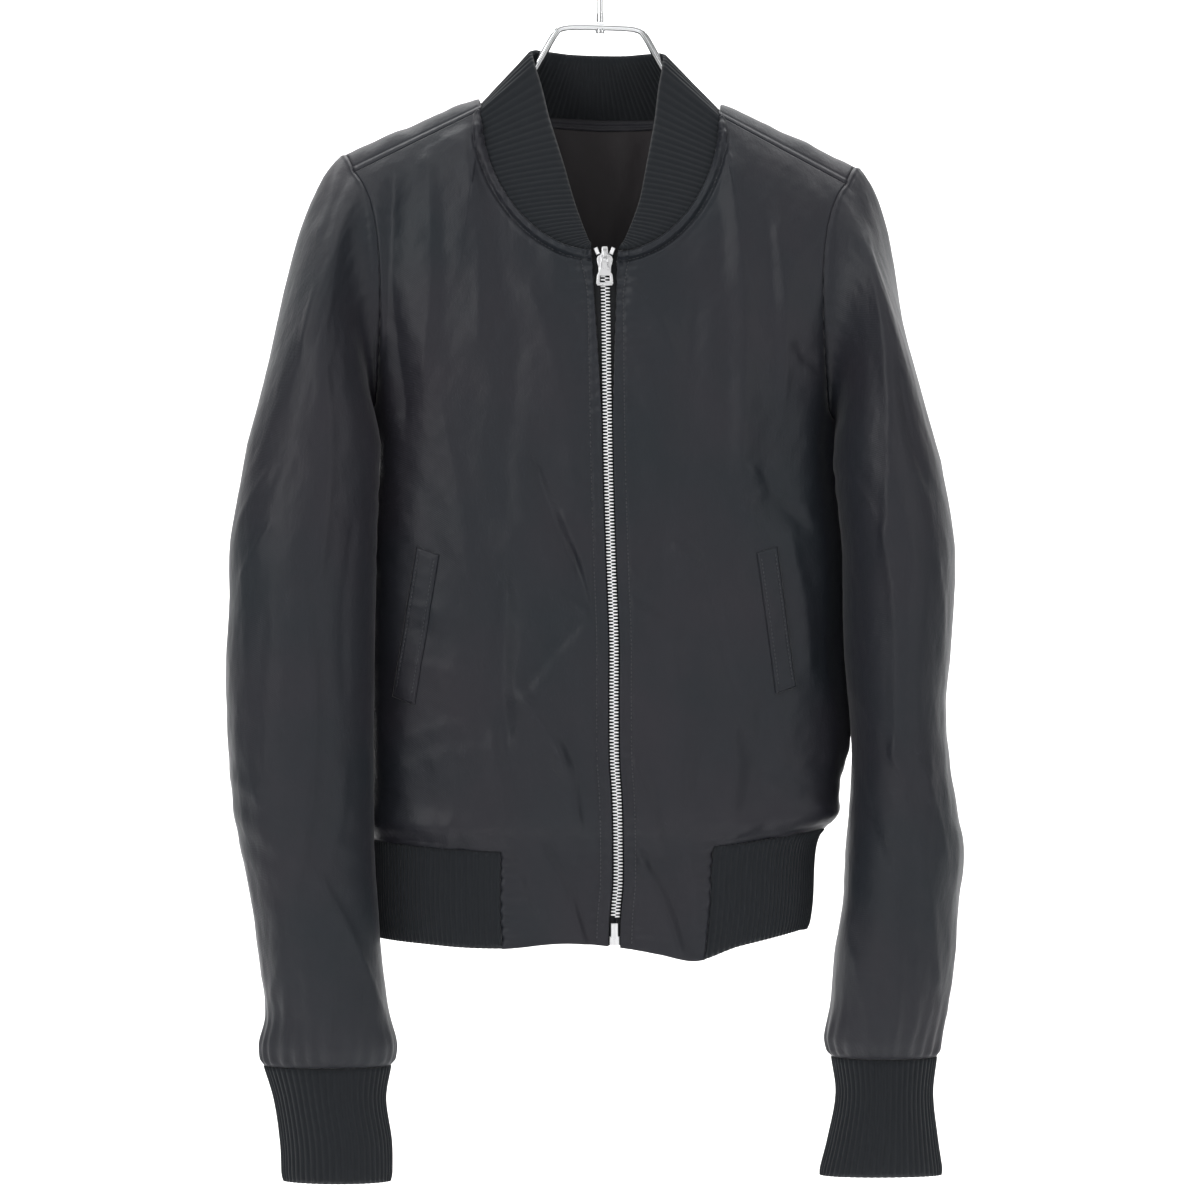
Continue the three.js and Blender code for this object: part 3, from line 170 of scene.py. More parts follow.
SLEEVE_FOLDS = {
    1: table(
        FOLD,
        (196, -250, 204, -470, 6.6, 2, -0.5), (204, -470, 211, -628, 6.6, 2, -0.5),
        (211, -628, 244, -792, 6.1, 2, -0.6), (216, -354, 233, -426, 5, -1.8, 0.3),
        (213, -736, 214, -834, 4.4, 1.5, 0.5), (184, -500, 190, -560, 3.9, -1.1, 0.4),
        (243, -489, 249, -575, 3.9, 1.2, 0.5), (190, -650, 206, -706, 3.9, -1.2, 0.4),
        (232, -640, 250, -700, 3.9, 1, 0.6), (178, -420, 196, -452, 3.3, 1, 0.7),
        (180, -764, 196, -834, 3.9, 1.2, 0.6), (228, -780, 226, -840, 3.3, 1.2, 0.5),
        (200, -800, 199, -846, 3, 1, 0.4), (186, -586, 200, -618, 3.3, 0.9, 0.6),
    ),
    -1: table(
        FOLD,
        (-204, -254, -212, -334, 6.6, 2, 0.5), (-196, -363, -198, -492, 6.6, 1.8, 0.5),
        (-208, -518, -209, -690, 6.6, 2, 0.5), (-209, -690, -237, -806, 5.5, 1.8, 0.6),
        (-202, -712, -158, -812, 5, 1.8, 0.6), (-256, -504, -236, -470, 3.2, 1.5, 0.5),
        (-260, -466, -236, -430, 4, 1.2, 0.5), (-176, -470, -182, -580, 5, -1.3, 0.3),
        (-238, -540, -246, -640, 5.5, -1.1, 0.3), (-182, -640, -190, -700, 3.9, 1.1, 0.5),
        (-230, -740, -226, -840, 3.9, 1.2, 0.5), (-190, -780, -196, -846, 3.3, 1.2, 0.5),
        (-172, -800, -176, -848, 3, 1, 0.4), (-214, -790, -212, -848, 3, -1, 0.4),
        (-250, -640, -240, -690, 3.9, 1, 0.6),
    ),
}


def read(rows, along, key, at):
    """A column of a table at places along another column, on a smooth curve through its rows."""
    order = np.argsort(rows[along])
    x, y = rows[along][order], rows[key][order]
    slope = np.empty_like(y)
    slope[1:-1] = (y[2:] - y[:-2]) / (x[2:] - x[:-2])
    slope[0], slope[-1] = (y[1] - y[0]) / (x[1] - x[0]), (y[-1] - y[-2]) / (x[-1] - x[-2])
    at = np.clip(np.asarray(at, float), x[0], x[-1])
    i = np.clip(np.searchsorted(x, at, side="right") - 1, 0, len(x) - 2)
    span = x[i + 1] - x[i]
    t = (at - x[i]) / span
    early = y[i] * (1 + 2 * t) * (1 - t) ** 2 + slope[i] * span * t * (1 - t) ** 2
    return early + y[i + 1] * t * t * (3 - 2 * t) + slope[i + 1] * span * t * t * (t - 1)


def stack(*parts):
    """Points from their x, y and z, whatever mix of numbers and arrays they are."""
    return np.stack(np.broadcast_arrays(*[np.asarray(p, float) for p in parts]), axis=-1)


def mix(a, b, t):
    return a + (b - a) * t


def fade(value, low, high):
    """A smooth step from 0 at low to 1 at high."""
    t = np.clip((np.asarray(value, float) - low) / (high - low), 0, 1)
    return t * t * (3 - 2 * t)


def bezier(p, a, b, q, t):
    t = np.asarray(t, float)[..., None]
    return p * (1 - t) ** 3 + 3 * a * t * (1 - t) ** 2 + 3 * b * t * t * (1 - t) + q * t ** 3


def leaning(points):
    """The jacket hangs a little lower on +X; the lean fades out below the armpit."""
    out = np.array(points, float)
    out[..., 2] -= out[..., 0] * LEAN * np.clip((out[..., 2] + 600) / 215, 0, 1)
    return out


def body_point(angle, z, deep):
    """A point of the body's section: angle 0 is the middle, 90 a side; deep is front or back."""
    left, right, power, depth = (read(SECTIONS, "z", key, z) for key in ("left", "right", "power", deep))
    across = np.sin(np.radians(angle))
    out = depth * np.maximum(0, 1 - np.abs(across) ** power) ** (1 / power)
    return stack((left + right) / 2 + (right - left) / 2 * across, out if deep == "back" else -out, z)


def zip_x(z):
    return read(ZIP_LINE, "z", "x", z)


def zip_gap(z):
    return read(ZIP_GAP, "z", "half", z)


def front_angle(side, s, z):
    left, right = read(SECTIONS, "z", "left", z), read(SECTIONS, "z", "right", z)
    reach = (right - left) / 2
    start = np.degrees(np.arcsin(side * (zip_x(z) + side * zip_gap(z) - (left + right) / 2) / reach))
    tab = TAB_ANGLE[side]
    near = mix(start, tab, s / TAB_SHARE)
    return np.where(s <= TAB_SHARE, near, mix(tab, 90, (s - TAB_SHARE) / (1 - TAB_SHARE)))


def front_top(side, s):
    """Upper edge of a front: the neckline up to s 0.5, then the shoulder seam."""
    turn = np.clip(s, 0, 0.5) * math.pi
    low = NECK_SIDE[2] - NECK_DROP
    start = zip_x(low) + side * zip_gap(low)
    rise = np.sin(turn) ** (2 / NECK_POWER)
    drop = np.maximum(0, np.cos(turn)) ** (2 / NECK_POWER)
    neck = stack(
        mix(start, side * NECK_SIDE[0], rise),
        NECK_SIDE[1] - 34 * np.maximum(0, np.cos(turn)) ** 1.3,
        NECK_SIDE[2] - NECK_DROP * drop,
    )
    t = np.clip((s - 0.5) * 2, 0, 1)
    seam = stack(side * mix(NECK_SIDE[0], SHOULDER_TIP[0], t), NECK_SIDE[1], mix(NECK_SIDE[2], SHOULDER_TIP[2], t))
    return np.where((s > 0.5)[..., None], seam, neck)


def smooth_path(points, count=400):
    """Evenly spaced points on a smooth curve through the given ones."""
    p = np.array(points, float)
    ends = np.concatenate([[2 * p[0] - p[1]], p, [2 * p[-1] - p[-2]]])
    t = np.linspace(0, len(p) - 1 - 1e-9, 60 * len(p))
    i = t.astype(int)
    f = (t - i)[:, None]
    a, b, c, d = ends[i], ends[i + 1], ends[i + 2], ends[i + 3]
    q = 0.5 * (2 * b + (c - a) * f + (2 * a - 5 * b + 4 * c - d) * f ** 2 + (3 * b - a - 3 * c + d) * f ** 3)
    run = np.concatenate([[0], np.cumsum(np.linalg.norm(np.diff(q, axis=0), axis=1))])
    even = np.linspace(0, run[-1], count)
    return np.stack([np.interp(even, run, q[:, k]) for k in range(3)], axis=-1)


BACK_NECK_PATH = smooth_path(BACK_NECK)


def back_top(side, s):
    t = np.clip(s * 2, 0, 1) * (len(BACK_NECK_PATH) - 1)
    steps = np.arange(len(BACK_NECK_PATH))
    neck = stack(*[np.interp(t, steps, BACK_NECK_PATH[:, k]) for k in range(3)])
    neck[..., 0] *= side
    return np.where((s > 0.5)[..., None], front_top(side, np.maximum(s, 0.5001)), neck)


def front_column(side, s):
    s = np.maximum(s, 0)
    foot = body_point(side * front_angle(side, s, ARMPIT_Z), ARMPIT_Z, "front")
    top = front_top(side, s)
    lift = 30 * fade(s, 0, 0.5)
    a = mix(foot, top, 1 / 3) + stack(-side * 10 * s ** 3, -0.8 - 44 * s ** 1.5, 3 * s)
    b = mix(foot, top, 2 / 3) + stack(-side * 22.7 * s ** 3, -1 - 35.5 * s ** 1.25, lift)
    return foot, a, b, top


def back_column(side, s):
    s = np.clip(s, 0, 1)
    foot = body_point(side * s * 90, ARMPIT_Z, "back")
    top = back_top(side, s)
    over = np.clip((46 - top[..., 1]) / 60, 0, 1)[..., None]
    a = mix(foot, top, 1 / 3) + stack(-side * 15 * s ** 3, 3 + 55 * s, 0)
    plain = mix(foot, top, 2 / 3) + stack(0, 6, 0)
    folded = top + stack(side * 29 * fade(s, 0.5, 1), 44, 69)
    return foot, a, mix(plain, folded, over), top


def front_point(side, s, v):
    """A front: v 0 to 1 from its upper edge to the armpit, 1 to 2 down to the rib seam, 2 to 3 the tab."""
    s, v = np.asarray(s, float), np.asarray(v, float)
    foot, a, b, top = front_column(side, s)
    yoke = bezier(foot, a, b, top, 1 - np.clip(v, 0, 1))
    x = side * 80 + 0 * s
    for _ in range(4):
        seam = read(RIB_SEAM, "x", "z", x)
        z = np.where(v < 2, mix(ARMPIT_Z, seam, np.clip(v - 1, 0, 1)), mix(seam, read(HEM_LINE, "x", "z", x), v - 2))
        low = body_point(side * front_angle(side, s, z), z, "front")
        x = low[..., 0]
    return np.where((v < 1)[..., None], yoke, low)


BLEND_REACH = 0.34
BLEND_STEPS = 4
BLEND_WIDTH = 2.4


def back_yoke(s, v):
    """The back's yoke; its columns blend with their neighbours, so that no ridge leaves the neck."""
    v = np.clip(v, 0, 1)
    inside = fade(v, 0, 0.35) * (1 - fade(v, 0.7, 1)) * fade(1 - np.abs(s), 0, 0.35)
    total, weights = 0, 0
    for k in range(-BLEND_STEPS, BLEND_STEPS + 1):
        at = s + BLEND_REACH * inside * k / BLEND_STEPS
        weight = math.exp(-((k / BLEND_WIDTH) ** 2))
        right = bezier(*back_column(-1, np.abs(at)), 1 - v)
        left = bezier(*back_column(1, np.abs(at)), 1 - v)
        total = total + weight * np.where((at < 0)[..., None], right, left)
        weights += weight
    return total / weights


def back_point(s, v):
    """The back: s from -1 to 1 across, v as on a front down to the rib seam."""
    s, v = np.broadcast_arrays(np.asarray(s, float), np.asarray(v, float))
    yoke = back_yoke(s, v)
    x = s * 170
    for _ in range(4):
        z = mix(ARMPIT_Z, read(RIB_SEAM, "x", "z", x), np.clip(v - 1, 0, 1))
        low = body_point(s * 90, z, "back")
        x = low[..., 0]
    low[..., 1] = np.maximum(low[..., 1], 0) + SEAM
    return np.where((v < 1)[..., None], yoke + np.array([0, SEAM * 0.5, 0]), low)


def ring_point(side, rows, share, z):
    """A sleeve or cuff ring: share 0 is the armpit side, 0.25 the front, 0.5 the outer side."""
    inner, outer, y, deep, turn = (read(rows, "z", key, z) for key in ("inner", "outer", "y", "deep", "turn"))
    angle = 2 * math.pi * share - np.radians(turn)
    x = (inner + outer) / 2 - (outer - inner) / 2 * np.cos(angle)
    return stack(side * x, y - deep * np.sin(angle), z)


def armhole_point(side, share):
    """The armhole's loop from the armpit up the front edge and down the back edge."""
    share = np.mod(share, 1)
    one = np.ones_like(share)
    front = bezier(*front_column(side, one), np.clip(2 * share, 0, 1))
    back = bezier(*back_column(side, one), np.clip(2 - 2 * share, 0, 1))
    return np.where((share <= 0.5)[..., None], front, back)


def armhole_away(side, share):
    """The way the sleeve leaves the armhole, outwards and a little down."""
    step = 0.02
    along = armhole_point(side, share + step) - armhole_point(side, share - step)
    along /= np.linalg.norm(along, axis=-1, keepdims=True)
    away = np.cross(np.cross(along, stack(side * 0.94, 0 * share, -0.34)), along)
    away /= np.linalg.norm(away, axis=-1, keepdims=True)
    pit = np.exp(-((np.minimum(np.mod(share, 1), 1 - np.mod(share, 1)) / 0.03) ** 2))[..., None]
    away = mix(away, np.array([side * 0.8, 0, -0.6]), pit)
    return away / np.linalg.norm(away, axis=-1, keepdims=True)


CAP = 0.28
CAP_LEDGE = {-1: 10, 1: 11}
CAP_SLOPE = {-1: 0.33, 1: 0.28}


def shoulder_flat(share):
    """How much of the sleeve's cap hangs flat from a short ledge at the shoulder."""
    return np.exp(-(((np.mod(share, 1) - 0.5) / 0.2) ** 2))


def sleeve_point(side, share, v):
    """A sleeve: v 0 to CAP from the armhole to the first ring, then down to the cuff seam."""
    share, v = np.asarray(share, float), np.asarray(v, float)
    rows = SLEEVES[side]
    top, foot = rows["z"].max(), rows["z"].min()
    away = armhole_away(side, share)
    start = armhole_point(side, share) + away * (SEAM + 0.1)
    end = ring_point(side, rows, share, np.full_like(share, top))
    length = np.linalg.norm(end - start, axis=-1)[..., None]
    flat = shoulder_flat(share)[..., None]
    up = stack(-side * CAP_SLOPE[side] * flat[..., 0], 0, 1) * length * mix(0.36, 0.7, flat)
    t = np.clip(v / CAP, 0, 1)
    cap = bezier(start, start + away * mix(length * 0.3, CAP_LEDGE[side], flat), end + up, end, t)
    tube = ring_point(side, rows, share, mix(top, foot, np.clip((v - CAP) / (1 - CAP), 0, 1)))
    return np.where((v < CAP)[..., None], cap, tube)


def normals_of(surface, u, v, du, dv, outward):
    """Unit normals of a surface function by small steps, turned to face the outward guess."""
    across = surface(u + du, v) - surface(u - du, v)
    down = surface(u, v + dv) - surface(u, v - dv)
    n = np.cross(across, down)
    n /= np.maximum(np.linalg.norm(n, axis=-1, keepdims=True), 1e-9)
    flip = np.sign(np.nanmedian(np.sum(n * outward, axis=-1)))
    return n * (flip if flip else 1)


def fold_rise(folds, x, z, crisp=0.0):
    """Height of the folds at places seen along Y; they taper, are steeper on one side, and may have a crisp crest."""
    total = np.zeros(np.broadcast(x, z).shape)
    for x0, z0, x1, z1, reach, rise, skew in zip(*[folds[k] for k in FOLD.split()]):
        dx, dz = x1 - x0, z1 - z0
        length = math.hypot(dx, dz)
        t = ((x - x0) * dx + (z - z0) * dz) / length ** 2
        bow = 0.03 * length * np.sin(math.pi * np.clip(t, 0, 1)) * np.sign(rise)
        off = ((x - x0) * dz - (z - z0) * dx) / length + bow
        over = np.maximum(0, np.maximum(-t, t - 1)) * length
        wide = reach * (0.75 + 0.35 * np.sin(math.pi * np.clip(t, 0, 1)))
        wide = wide * (1 + skew * np.tanh(off / reach))
        part = np.abs(off) / np.maximum(wide, 1)
        crest = np.sqrt(part ** 2 + 0.01) - 0.1
        total += rise * np.exp(-mix(part ** 2, 1.5 * crest, crisp) - (over / (1.4 * reach)) ** 2)
    return total


WAVES = table(
    "size angle phase share",
    (52, 8, 0.3, 1.0), (37, -14, 1.9, 0.8), (29, 20, 4.1, 0.6), (23, -6, 2.7, 0.5), (17, 34, 5.3, 0.32),
    (13, -38, 0.9, 0.25), (10, 62, 3.6, 0.16), (8, -70, 1.4, 0.12),
)


def ripple(a, b, seed=0.0):
    """Soft uneven undulation of hanging cloth, mostly in long upright waves; a runs across, b up."""
    warp_a = a + 7 * np.sin(b / 61 + seed) + 4 * np.sin(b / 27 + 2 * seed)
    warp_b = b + 9 * np.sin(a / 43 + 1.3 * seed)
    total = 0
    for size, angle, phase, share in zip(*[WAVES[k] for k in ("size", "angle", "phase", "share")]):
        turn = math.radians(angle)
        total = total + share * np.sin(
            2 * math.pi * (warp_a * math.cos(turn) + warp_b * math.sin(turn)) / size + phase + 3 * seed
        )
    return total / 2.2


def gathers(along, away, size, reach, seed=0.0):
    """Small uneven pleats at a gathered seam, fading with the distance away from it."""
    phase = 2 * math.pi * (along + 2.2 * np.sin(along / 17 + seed) + 1.3 * np.sin(along / 7.3 + 2 * seed)) / size
    strength = 0.65 + 0.35 * np.sin(along / 31 + 3 * seed)
    return strength * np.sin(phase) * np.exp(-np.abs(away) / reach)


YOKE_MIDDLE, YOKE_NECK, YOKE_TIP = 121, 232, 177
FRONT_WIDTH, BACK_HALF_WIDTH, SKIRT_LENGTH, TAB_HEIGHT = 190, 170, 312, 72
NECK_RUN = 290
SLEEVE_ROUND, SLEEVE_LENGTH, CAP_LENGTH = 345, 440, 90
SLEEVE_MIDDLE = 217
BAND_WIDTH = 7


def yoke_length(s):
    """Length of a front's column from its upper edge to the armpit's height."""
    return mix(YOKE_MIDDLE, YOKE_NECK, fade(s, 0, 0.5))


def side_bulge(side, away, z):
    """The body's left side swells towards the sleeve that hangs against it."""
    if side < 0:
        return 5 * np.exp(-(((z + 392) / 13) ** 2) - (away / 15) ** 2)
    gap = read(SLEEVES[1], "z", "inner", z) - read(SECTIONS, "z", "right", z)
    swell = np.clip(gap + 1.8 + 3 * np.exp(-(((z + 402) / 28) ** 2)), 0, 8)
    return swell * np.exp(-((away / 16) ** 2)) * fade(z, -655, -612) * fade(z, -370, -386)


def neck_away(side, x, z):
    """Distance from a front's neckline, seen from the front."""
    line = front_top(side, np.linspace(0, 0.5, 320))
    x, z = np.broadcast_arrays(x, z)
    rows = zip(np.atleast_2d(x), np.atleast_2d(z))
    gap = [np.min(np.hypot(line[:, 0, None] - a, line[:, 2, None] - b), axis=0) for a, b in rows]
    return np.array(gap).reshape(x.shape)


def front_cloth(side, s, v):
    """A front with its folds, seam rolls, stitch lines and gathers."""
    s, v = np.asarray(s, float), np.asarray(v, float)
    base = front_point(side, s, v)
    n = normals_of(lambda a, b: front_point(side, a, b), s, v, 2e-3, 2e-3, np.array([0, -1, 0.05]))
    x, z = base[..., 0], base[..., 2]
    zip_away = np.abs(x - zip_x(z)) - zip_gap(z)
    top_away = v * (yoke_length(s) - (YOKE_NECK - YOKE_TIP) * fade(s, 0.6, 1))
    side_away = (1 - s) * FRONT_WIDTH
    seam_away = np.where(v < 2, (2 - v) * SKIRT_LENGTH, (v - 2) * TAB_HEIGHT)
    inside = fade(zip_away, 2, 16) * fade(top_away, 2, 20) * fade(side_away, 0, 14)
    rise = 1.2 * fold_rise(FRONT_FOLDS, x, z, 0.3) * inside
    rise = rise + 0.62 * ripple(x, z, 0.7 * side) * inside
    beyond_tab = fade(s, TAB_SHARE, TAB_SHARE + 0.1)
    rise = rise + 0.25 * gathers(x, np.where(v < 2, seam_away, 90), 12.5, 15, 0.4 * side) * beyond_tab
    over_rib = 4.4 * np.exp(-((seam_away - 15) / 9) ** 2) - 1.2 * np.exp(-((seam_away / 4) ** 2))
    rise = rise + np.where(v < 2, over_rib, 0) * beyond_tab * (1 + 0.3 * np.sin(x / 11))
    strong = mix(1.1, 1.8, fade(z, -440, -300))
    rise = rise + strong * gathers(z, zip_away - 5, 8.5, 8, 1.1 * side) * fade(zip_away, 0.5, 4)
    stitched = np.exp(-((zip_away - 8.5) / 1.1) ** 2)
    rise = rise - 0.55 * stitched + 0.5 * np.exp(-((zip_away - 1) / 2.2) ** 2)
    band = (v < 0.9) * (1 - fade(s, 0.5, 0.53))
    off = np.where(v < 0.9, neck_away(side, x, z), 99)
    rolled = 2.6 * fade(off, 0, 1.6) * (1 - fade(off, 4.6, 6.6)) - 1.4 * np.exp(-((off - 7.2) / 0.9) ** 2)
    rolled = rolled + 0.8 * np.exp(-((off - 9.8) / 1.4) ** 2)
    along_neck = np.where(s < 0.3, s * NECK_RUN, -z)
    rise = rise + band * rolled * (1 + 0.3 * np.sin(along_neck / 1.4) * np.sin(along_neck / 8 + 1))
    rise = rise + band * 0.5 * gathers(along_neck, off - 8, 9, 7, 0.9 * side)
    rise = rise + 0.6 * gathers(z, side_away, 15, 10, 0.5) * fade(v, 0.1, 0.3)
    rise = rise + side_bulge(side, side_away, z)
    tab_edge = np.abs(s - TAB_SHARE) * 250
    rise = rise + np.where(v > 2, 1, np.exp(-seam_away / 14)) * 1.5 * gathers(z, tab_edge, 9, 7, 1.7 * side)
    hem_away = (3 - v) * TAB_HEIGHT
    rise = rise + 0.5 * np.exp(-((hem_away - 2) / 3) ** 2) - 0.4 * np.exp(-((hem_away - 9) / 1) ** 2)
    return base + n * rise[..., None], n


def back_cloth(s, v):
    s, v = np.asarray(s, float), np.asarray(v, float)
    base = back_point(s, v)
    n = normals_of(back_point, s, v, 2e-3, 2e-3, np.array([0, 1, 0.05]))
    x, z = base[..., 0], base[..., 2]
    side_away = (1 - np.abs(s)) * BACK_HALF_WIDTH
    top_away = v * 230
    seam_away = (2 - v) * SKIRT_LENGTH
    inside = fade(top_away, 2, 24) * fade(side_away, 0, 14)
    rise = fold_rise(BACK_FOLDS, x, z) * inside * fade(base[..., 1], 4, 20)
    rise = rise + 0.6 * ripple(x, z, 2.1) * inside
    rise = rise + 1.6 * gathers(x, seam_away, 12.5, 16, 2.3)
    rise = rise + (1.3 * fade(top_away, 0, 1.3) * (1 - fade(top_away, 5, 6.5))) * (np.abs(s) < 0.5)
    stitched = 0.5 * np.exp(-((top_away - 2) / 2) ** 2) - 0.4 * np.exp(-((top_away - 5) / 0.8) ** 2)
    rise = rise + stitched * (np.abs(s) >= 0.5)
    rise = rise + np.where(s > 0, side_bulge(1, side_away, z), 0)
    return base + n * rise[..., None], n


def sleeve_cloth(side, share, v):
    share, v = np.asarray(share, float), np.asarray(v, float)
    base = sleeve_point(side, share, v)
    guess = stack(-side * np.cos(2 * math.pi * share), -np.sin(2 * math.pi * share), 0)
    n = normals_of(lambda a, b: sleeve_point(side, a, b), share, v, 2e-3, 2e-3, guess)
    x, z = base[..., 0], base[..., 2]
    round_mm = share * SLEEVE_ROUND
    down = np.clip((v - CAP) / (1 - CAP), 0, 1) * SLEEVE_LENGTH
    seam_away = SLEEVE_LENGTH - down
    cap_away = np.where(v < CAP, v / CAP * CAP_LENGTH, CAP_LENGTH + down)
    ends = fade(cap_away, 0, 26) * fade(seam_away, 2, 22)
    facing = np.clip(-n[..., 1] * 1.4, 0, 1)
    turned = np.clip(n[..., 1] * 1.4, 0, 1)
    rise = fold_rise(SLEEVE_FOLDS[side], x, z, 0.75) * facing * ends
    mirrored = fold_rise(SLEEVE_FOLDS[side], 2 * side * SLEEVE_MIDDLE - x, z - 22, 0.75)
    rise = rise + mirrored * turned * ends * 0.8
    rise = rise + 0.32 * ripple(round_mm * np.sin(math.pi * share) ** 2, z, 1.3 * side) * ends
    rise = rise + 1.8 * gathers(round_mm, seam_away, SLEEVE_ROUND / 23, 20, 0.8 * side) * fade(seam_away, 0, 5)
    pit = np.exp(-((np.minimum(share, 1 - share) / 0.16) ** 2))
    rise = rise + 0.6 * pit * gathers(z, np.abs(z + 440), 21, 48, 0.6 * side) * ends
    rise = rise + 0.5 * gathers(z + 0.6 * x, np.abs(z + 690), 27, 85, 1.4 * side) * ends * (1 - 0.7 * pit)
    rise = rise + 0.6 * np.exp(-((cap_away - 3) / 2.5) ** 2)
    tuck = np.exp(-((cap_away / 0.9) ** 2))
    rise = rise - 0.6 * tuck + 0.55 * gathers(round_mm, cap_away - 4, 9, 9, 0.3 * side) * fade(cap_away, 1, 4)
    return base + n * rise[..., None] - armhole_away(side, share) * (1.6 * tuck)[..., None], n


def knit_rib(phase):
    """Relief of a knit rib: a round wale with a narrow channel beside it."""
    wave = 0.5 + 0.5 * np.cos(2 * math.pi * phase)
    return 1.15 * (wave ** 0.6) - 0.35


def neck_edge(side, u):
    """The neckline from the zip (0) to the centre back (1), its outer normal, and where the shoulder meets it."""
    length = 360
    s = np.linspace(0, 0.5, length)
    front = front_top(side, s)
    back = back_top(side, s[::-1])
    path = np.concatenate([front, back[1:]])
    fn = normals_of(lambda a, b: front_point(side, a, b), s, s * 0 + 0.01, 2e-3, 5e-3, np.array([0, -1, 0.3]))
    behind = np.maximum(s[::-1], 3e-3)
    bn = normals_of(lambda a, b: back_point(side * a, b), behind, s * 0 + 0.01, 2e-3, 5e-3, np.array([0, 1, 0.3]))
    normal = np.concatenate([fn, bn[1:]])
    width = 25
    kernel = np.hanning(width) / np.hanning(width).sum()
    padded = np.pad(normal, ((width // 2, width // 2), (0, 0)), mode="edge")
    normal = stack(*[np.convolve(padded[:, k], kernel, mode="valid") for k in range(3)])
    normal /= np.linalg.norm(normal, axis=1, keepdims=True)
    run = np.concatenate([[0], np.cumsum(np.linalg.norm(np.diff(path, axis=0), axis=1))])
    run /= run[-1]
    spot, way = (stack(*[np.interp(u, run, rows[:, k]) for k in range(3)]) for rows in (path, normal))
    return spot, way, run[length - 1]


def rim_share(u, z, corner):
    """Where a rib that leaves the seam at u ends on the rim: nearly level in front, then evenly round the back."""
    lowest = NECK_SIDE[2] - NECK_DROP
    z = np.clip(z, lowest, NECK_SIDE[2])
    level = np.interp(z + 5 + 30 * ((z - lowest) / NECK_DROP) ** 3, RIM["z"][:9], RIM["u"][:9])
    last = np.interp(NECK_SIDE[2] + 35, RIM["z"][:9], RIM["u"][:9])
    return np.where(u < corner, level, mix(last, 1, (u - corner) / (1 - corner)))


def collar_face(w, t):
    """The collar's middle face: w from the right zip end round the back to the left one, t from seam to rim."""
    w, t = np.asarray(w, float), np.asarray(t, float)
    out = np.zeros(np.broadcast(w, t).shape + (3,))
    for side in (-1, 1):
        u = np.clip(2 * w if side < 0 else 2 - 2 * w, 0, 1)
        base, normal, corner = neck_edge(side, u)
        to = rim_share(u, base[..., 2], corner)
        z = read(RIM, "u", "z", to)
        rim = stack(read(RIM_CENTRE, "z", "x", z) + side * read(RIM, "u", "half", to), read(RIM, "u", "y", to), z)
        swell = np.interp(u, (0, 0.3, 0.48, 0.58, 0.75, 0.9, 1), (1.8, 1.8, 0.5, -0.5, -0.5, 0, 0))
        part = mix(base, rim, t[..., None]) + normal * (swell * 4 * t * (1 - t))[..., None]
        out = np.where(((w < 0.5) == (side < 0))[..., None], part, out)
    return out


# Mesh helpers
def sheet_bmesh(columns, rows, place, closed=False, keep=None):
    """A grid whose points are put in place by a function of u and v from 0 to 1; a closed one is welded."""
    bm = bmesh.new()
    bmesh.ops.create_grid(bm, x_segments=columns, y_segments=rows, size=0.5)
    bm.verts.ensure_lookup_table()
    flat = np.array([v.co for v in bm.verts])
    u, v = np.clip(flat[:, 0] + 0.5, 0, 1), np.clip(0.5 - flat[:, 1], 0, 1)
    uv = bm.loops.layers.uv.new("cloth")
    if keep is not None:
        gone = [f for f in bm.faces if not keep(f.calc_center_median().x + 0.5, 0.5 - f.calc_center_median().y)]
        bmesh.ops.delete(bm, geom=gone, context="FACES")
        bm.verts.ensure_lookup_table()
        flat = np.array([x.co for x in bm.verts])
        u, v = np.clip(flat[:, 0] + 0.5, 0, 1), np.clip(0.5 - flat[:, 1], 0, 1)
    for face in bm.faces:
        face.smooth = True
        for loop in face.loops:
            loop[uv].uv = (loop.vert.co.x + 0.5, loop.vert.co.y + 0.5)
    points = leaning(place(u, v)) * MM
    for vert, p in zip(bm.verts, points):
        vert.co = p
    if closed:
        bmesh.ops.remove_doubles(bm, verts=bm.verts[:], dist=1e-5)
    return bm


def face_outwards(bm, outward):
    """Turns the faces round if they look away from the outward direction at each place."""
    bm.normal_update()
    spread = max(1, len(bm.faces) // 400)
    total = sum(f.normal.dot(outward(f.calc_center_median())) for f in list(bm.faces)[::spread])
    if total < 0:
        bmesh.ops.reverse_faces(bm, faces=bm.faces[:])


def object_from(bm, name, slot, body, replaced, *mats):
    bm.normal_update()
    mesh = bpy.data.meshes.new(name)
    bm.to_mesh(mesh)
    bm.free()
    for mat in mats:
        mesh.materials.append(mat)
    piece = bpy.data.objects.new(name, mesh)
    bpy.context.scene.collection.objects.link(piece)
    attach(piece, body)
    if replaced:
        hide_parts(*replaced)
    return piece


def thicken(piece, thickness, inner_material=0):
    wall = piece.modifiers.new("wall", "SOLIDIFY")
    wall.thickness = thickness
    wall.offset = -1
    wall.material_offset = inner_material
    wall.use_even_offset = False
    return piece


# Materials
def new_material(name):
    mat = bpy.data.materials.new(name)
    mat.use_nodes = True
    tree = mat.node_tree
    shader = tree.nodes["Principled BSDF"]
    return mat, tree, shader


def node(tree, kind, **settings):
    made = tree.nodes.new(kind)
    for key, value in settings.items():
        if key in made.inputs:
            made.inputs[key].default_value = value
        else:
            setattr(made, key.lower(), value)
    return made


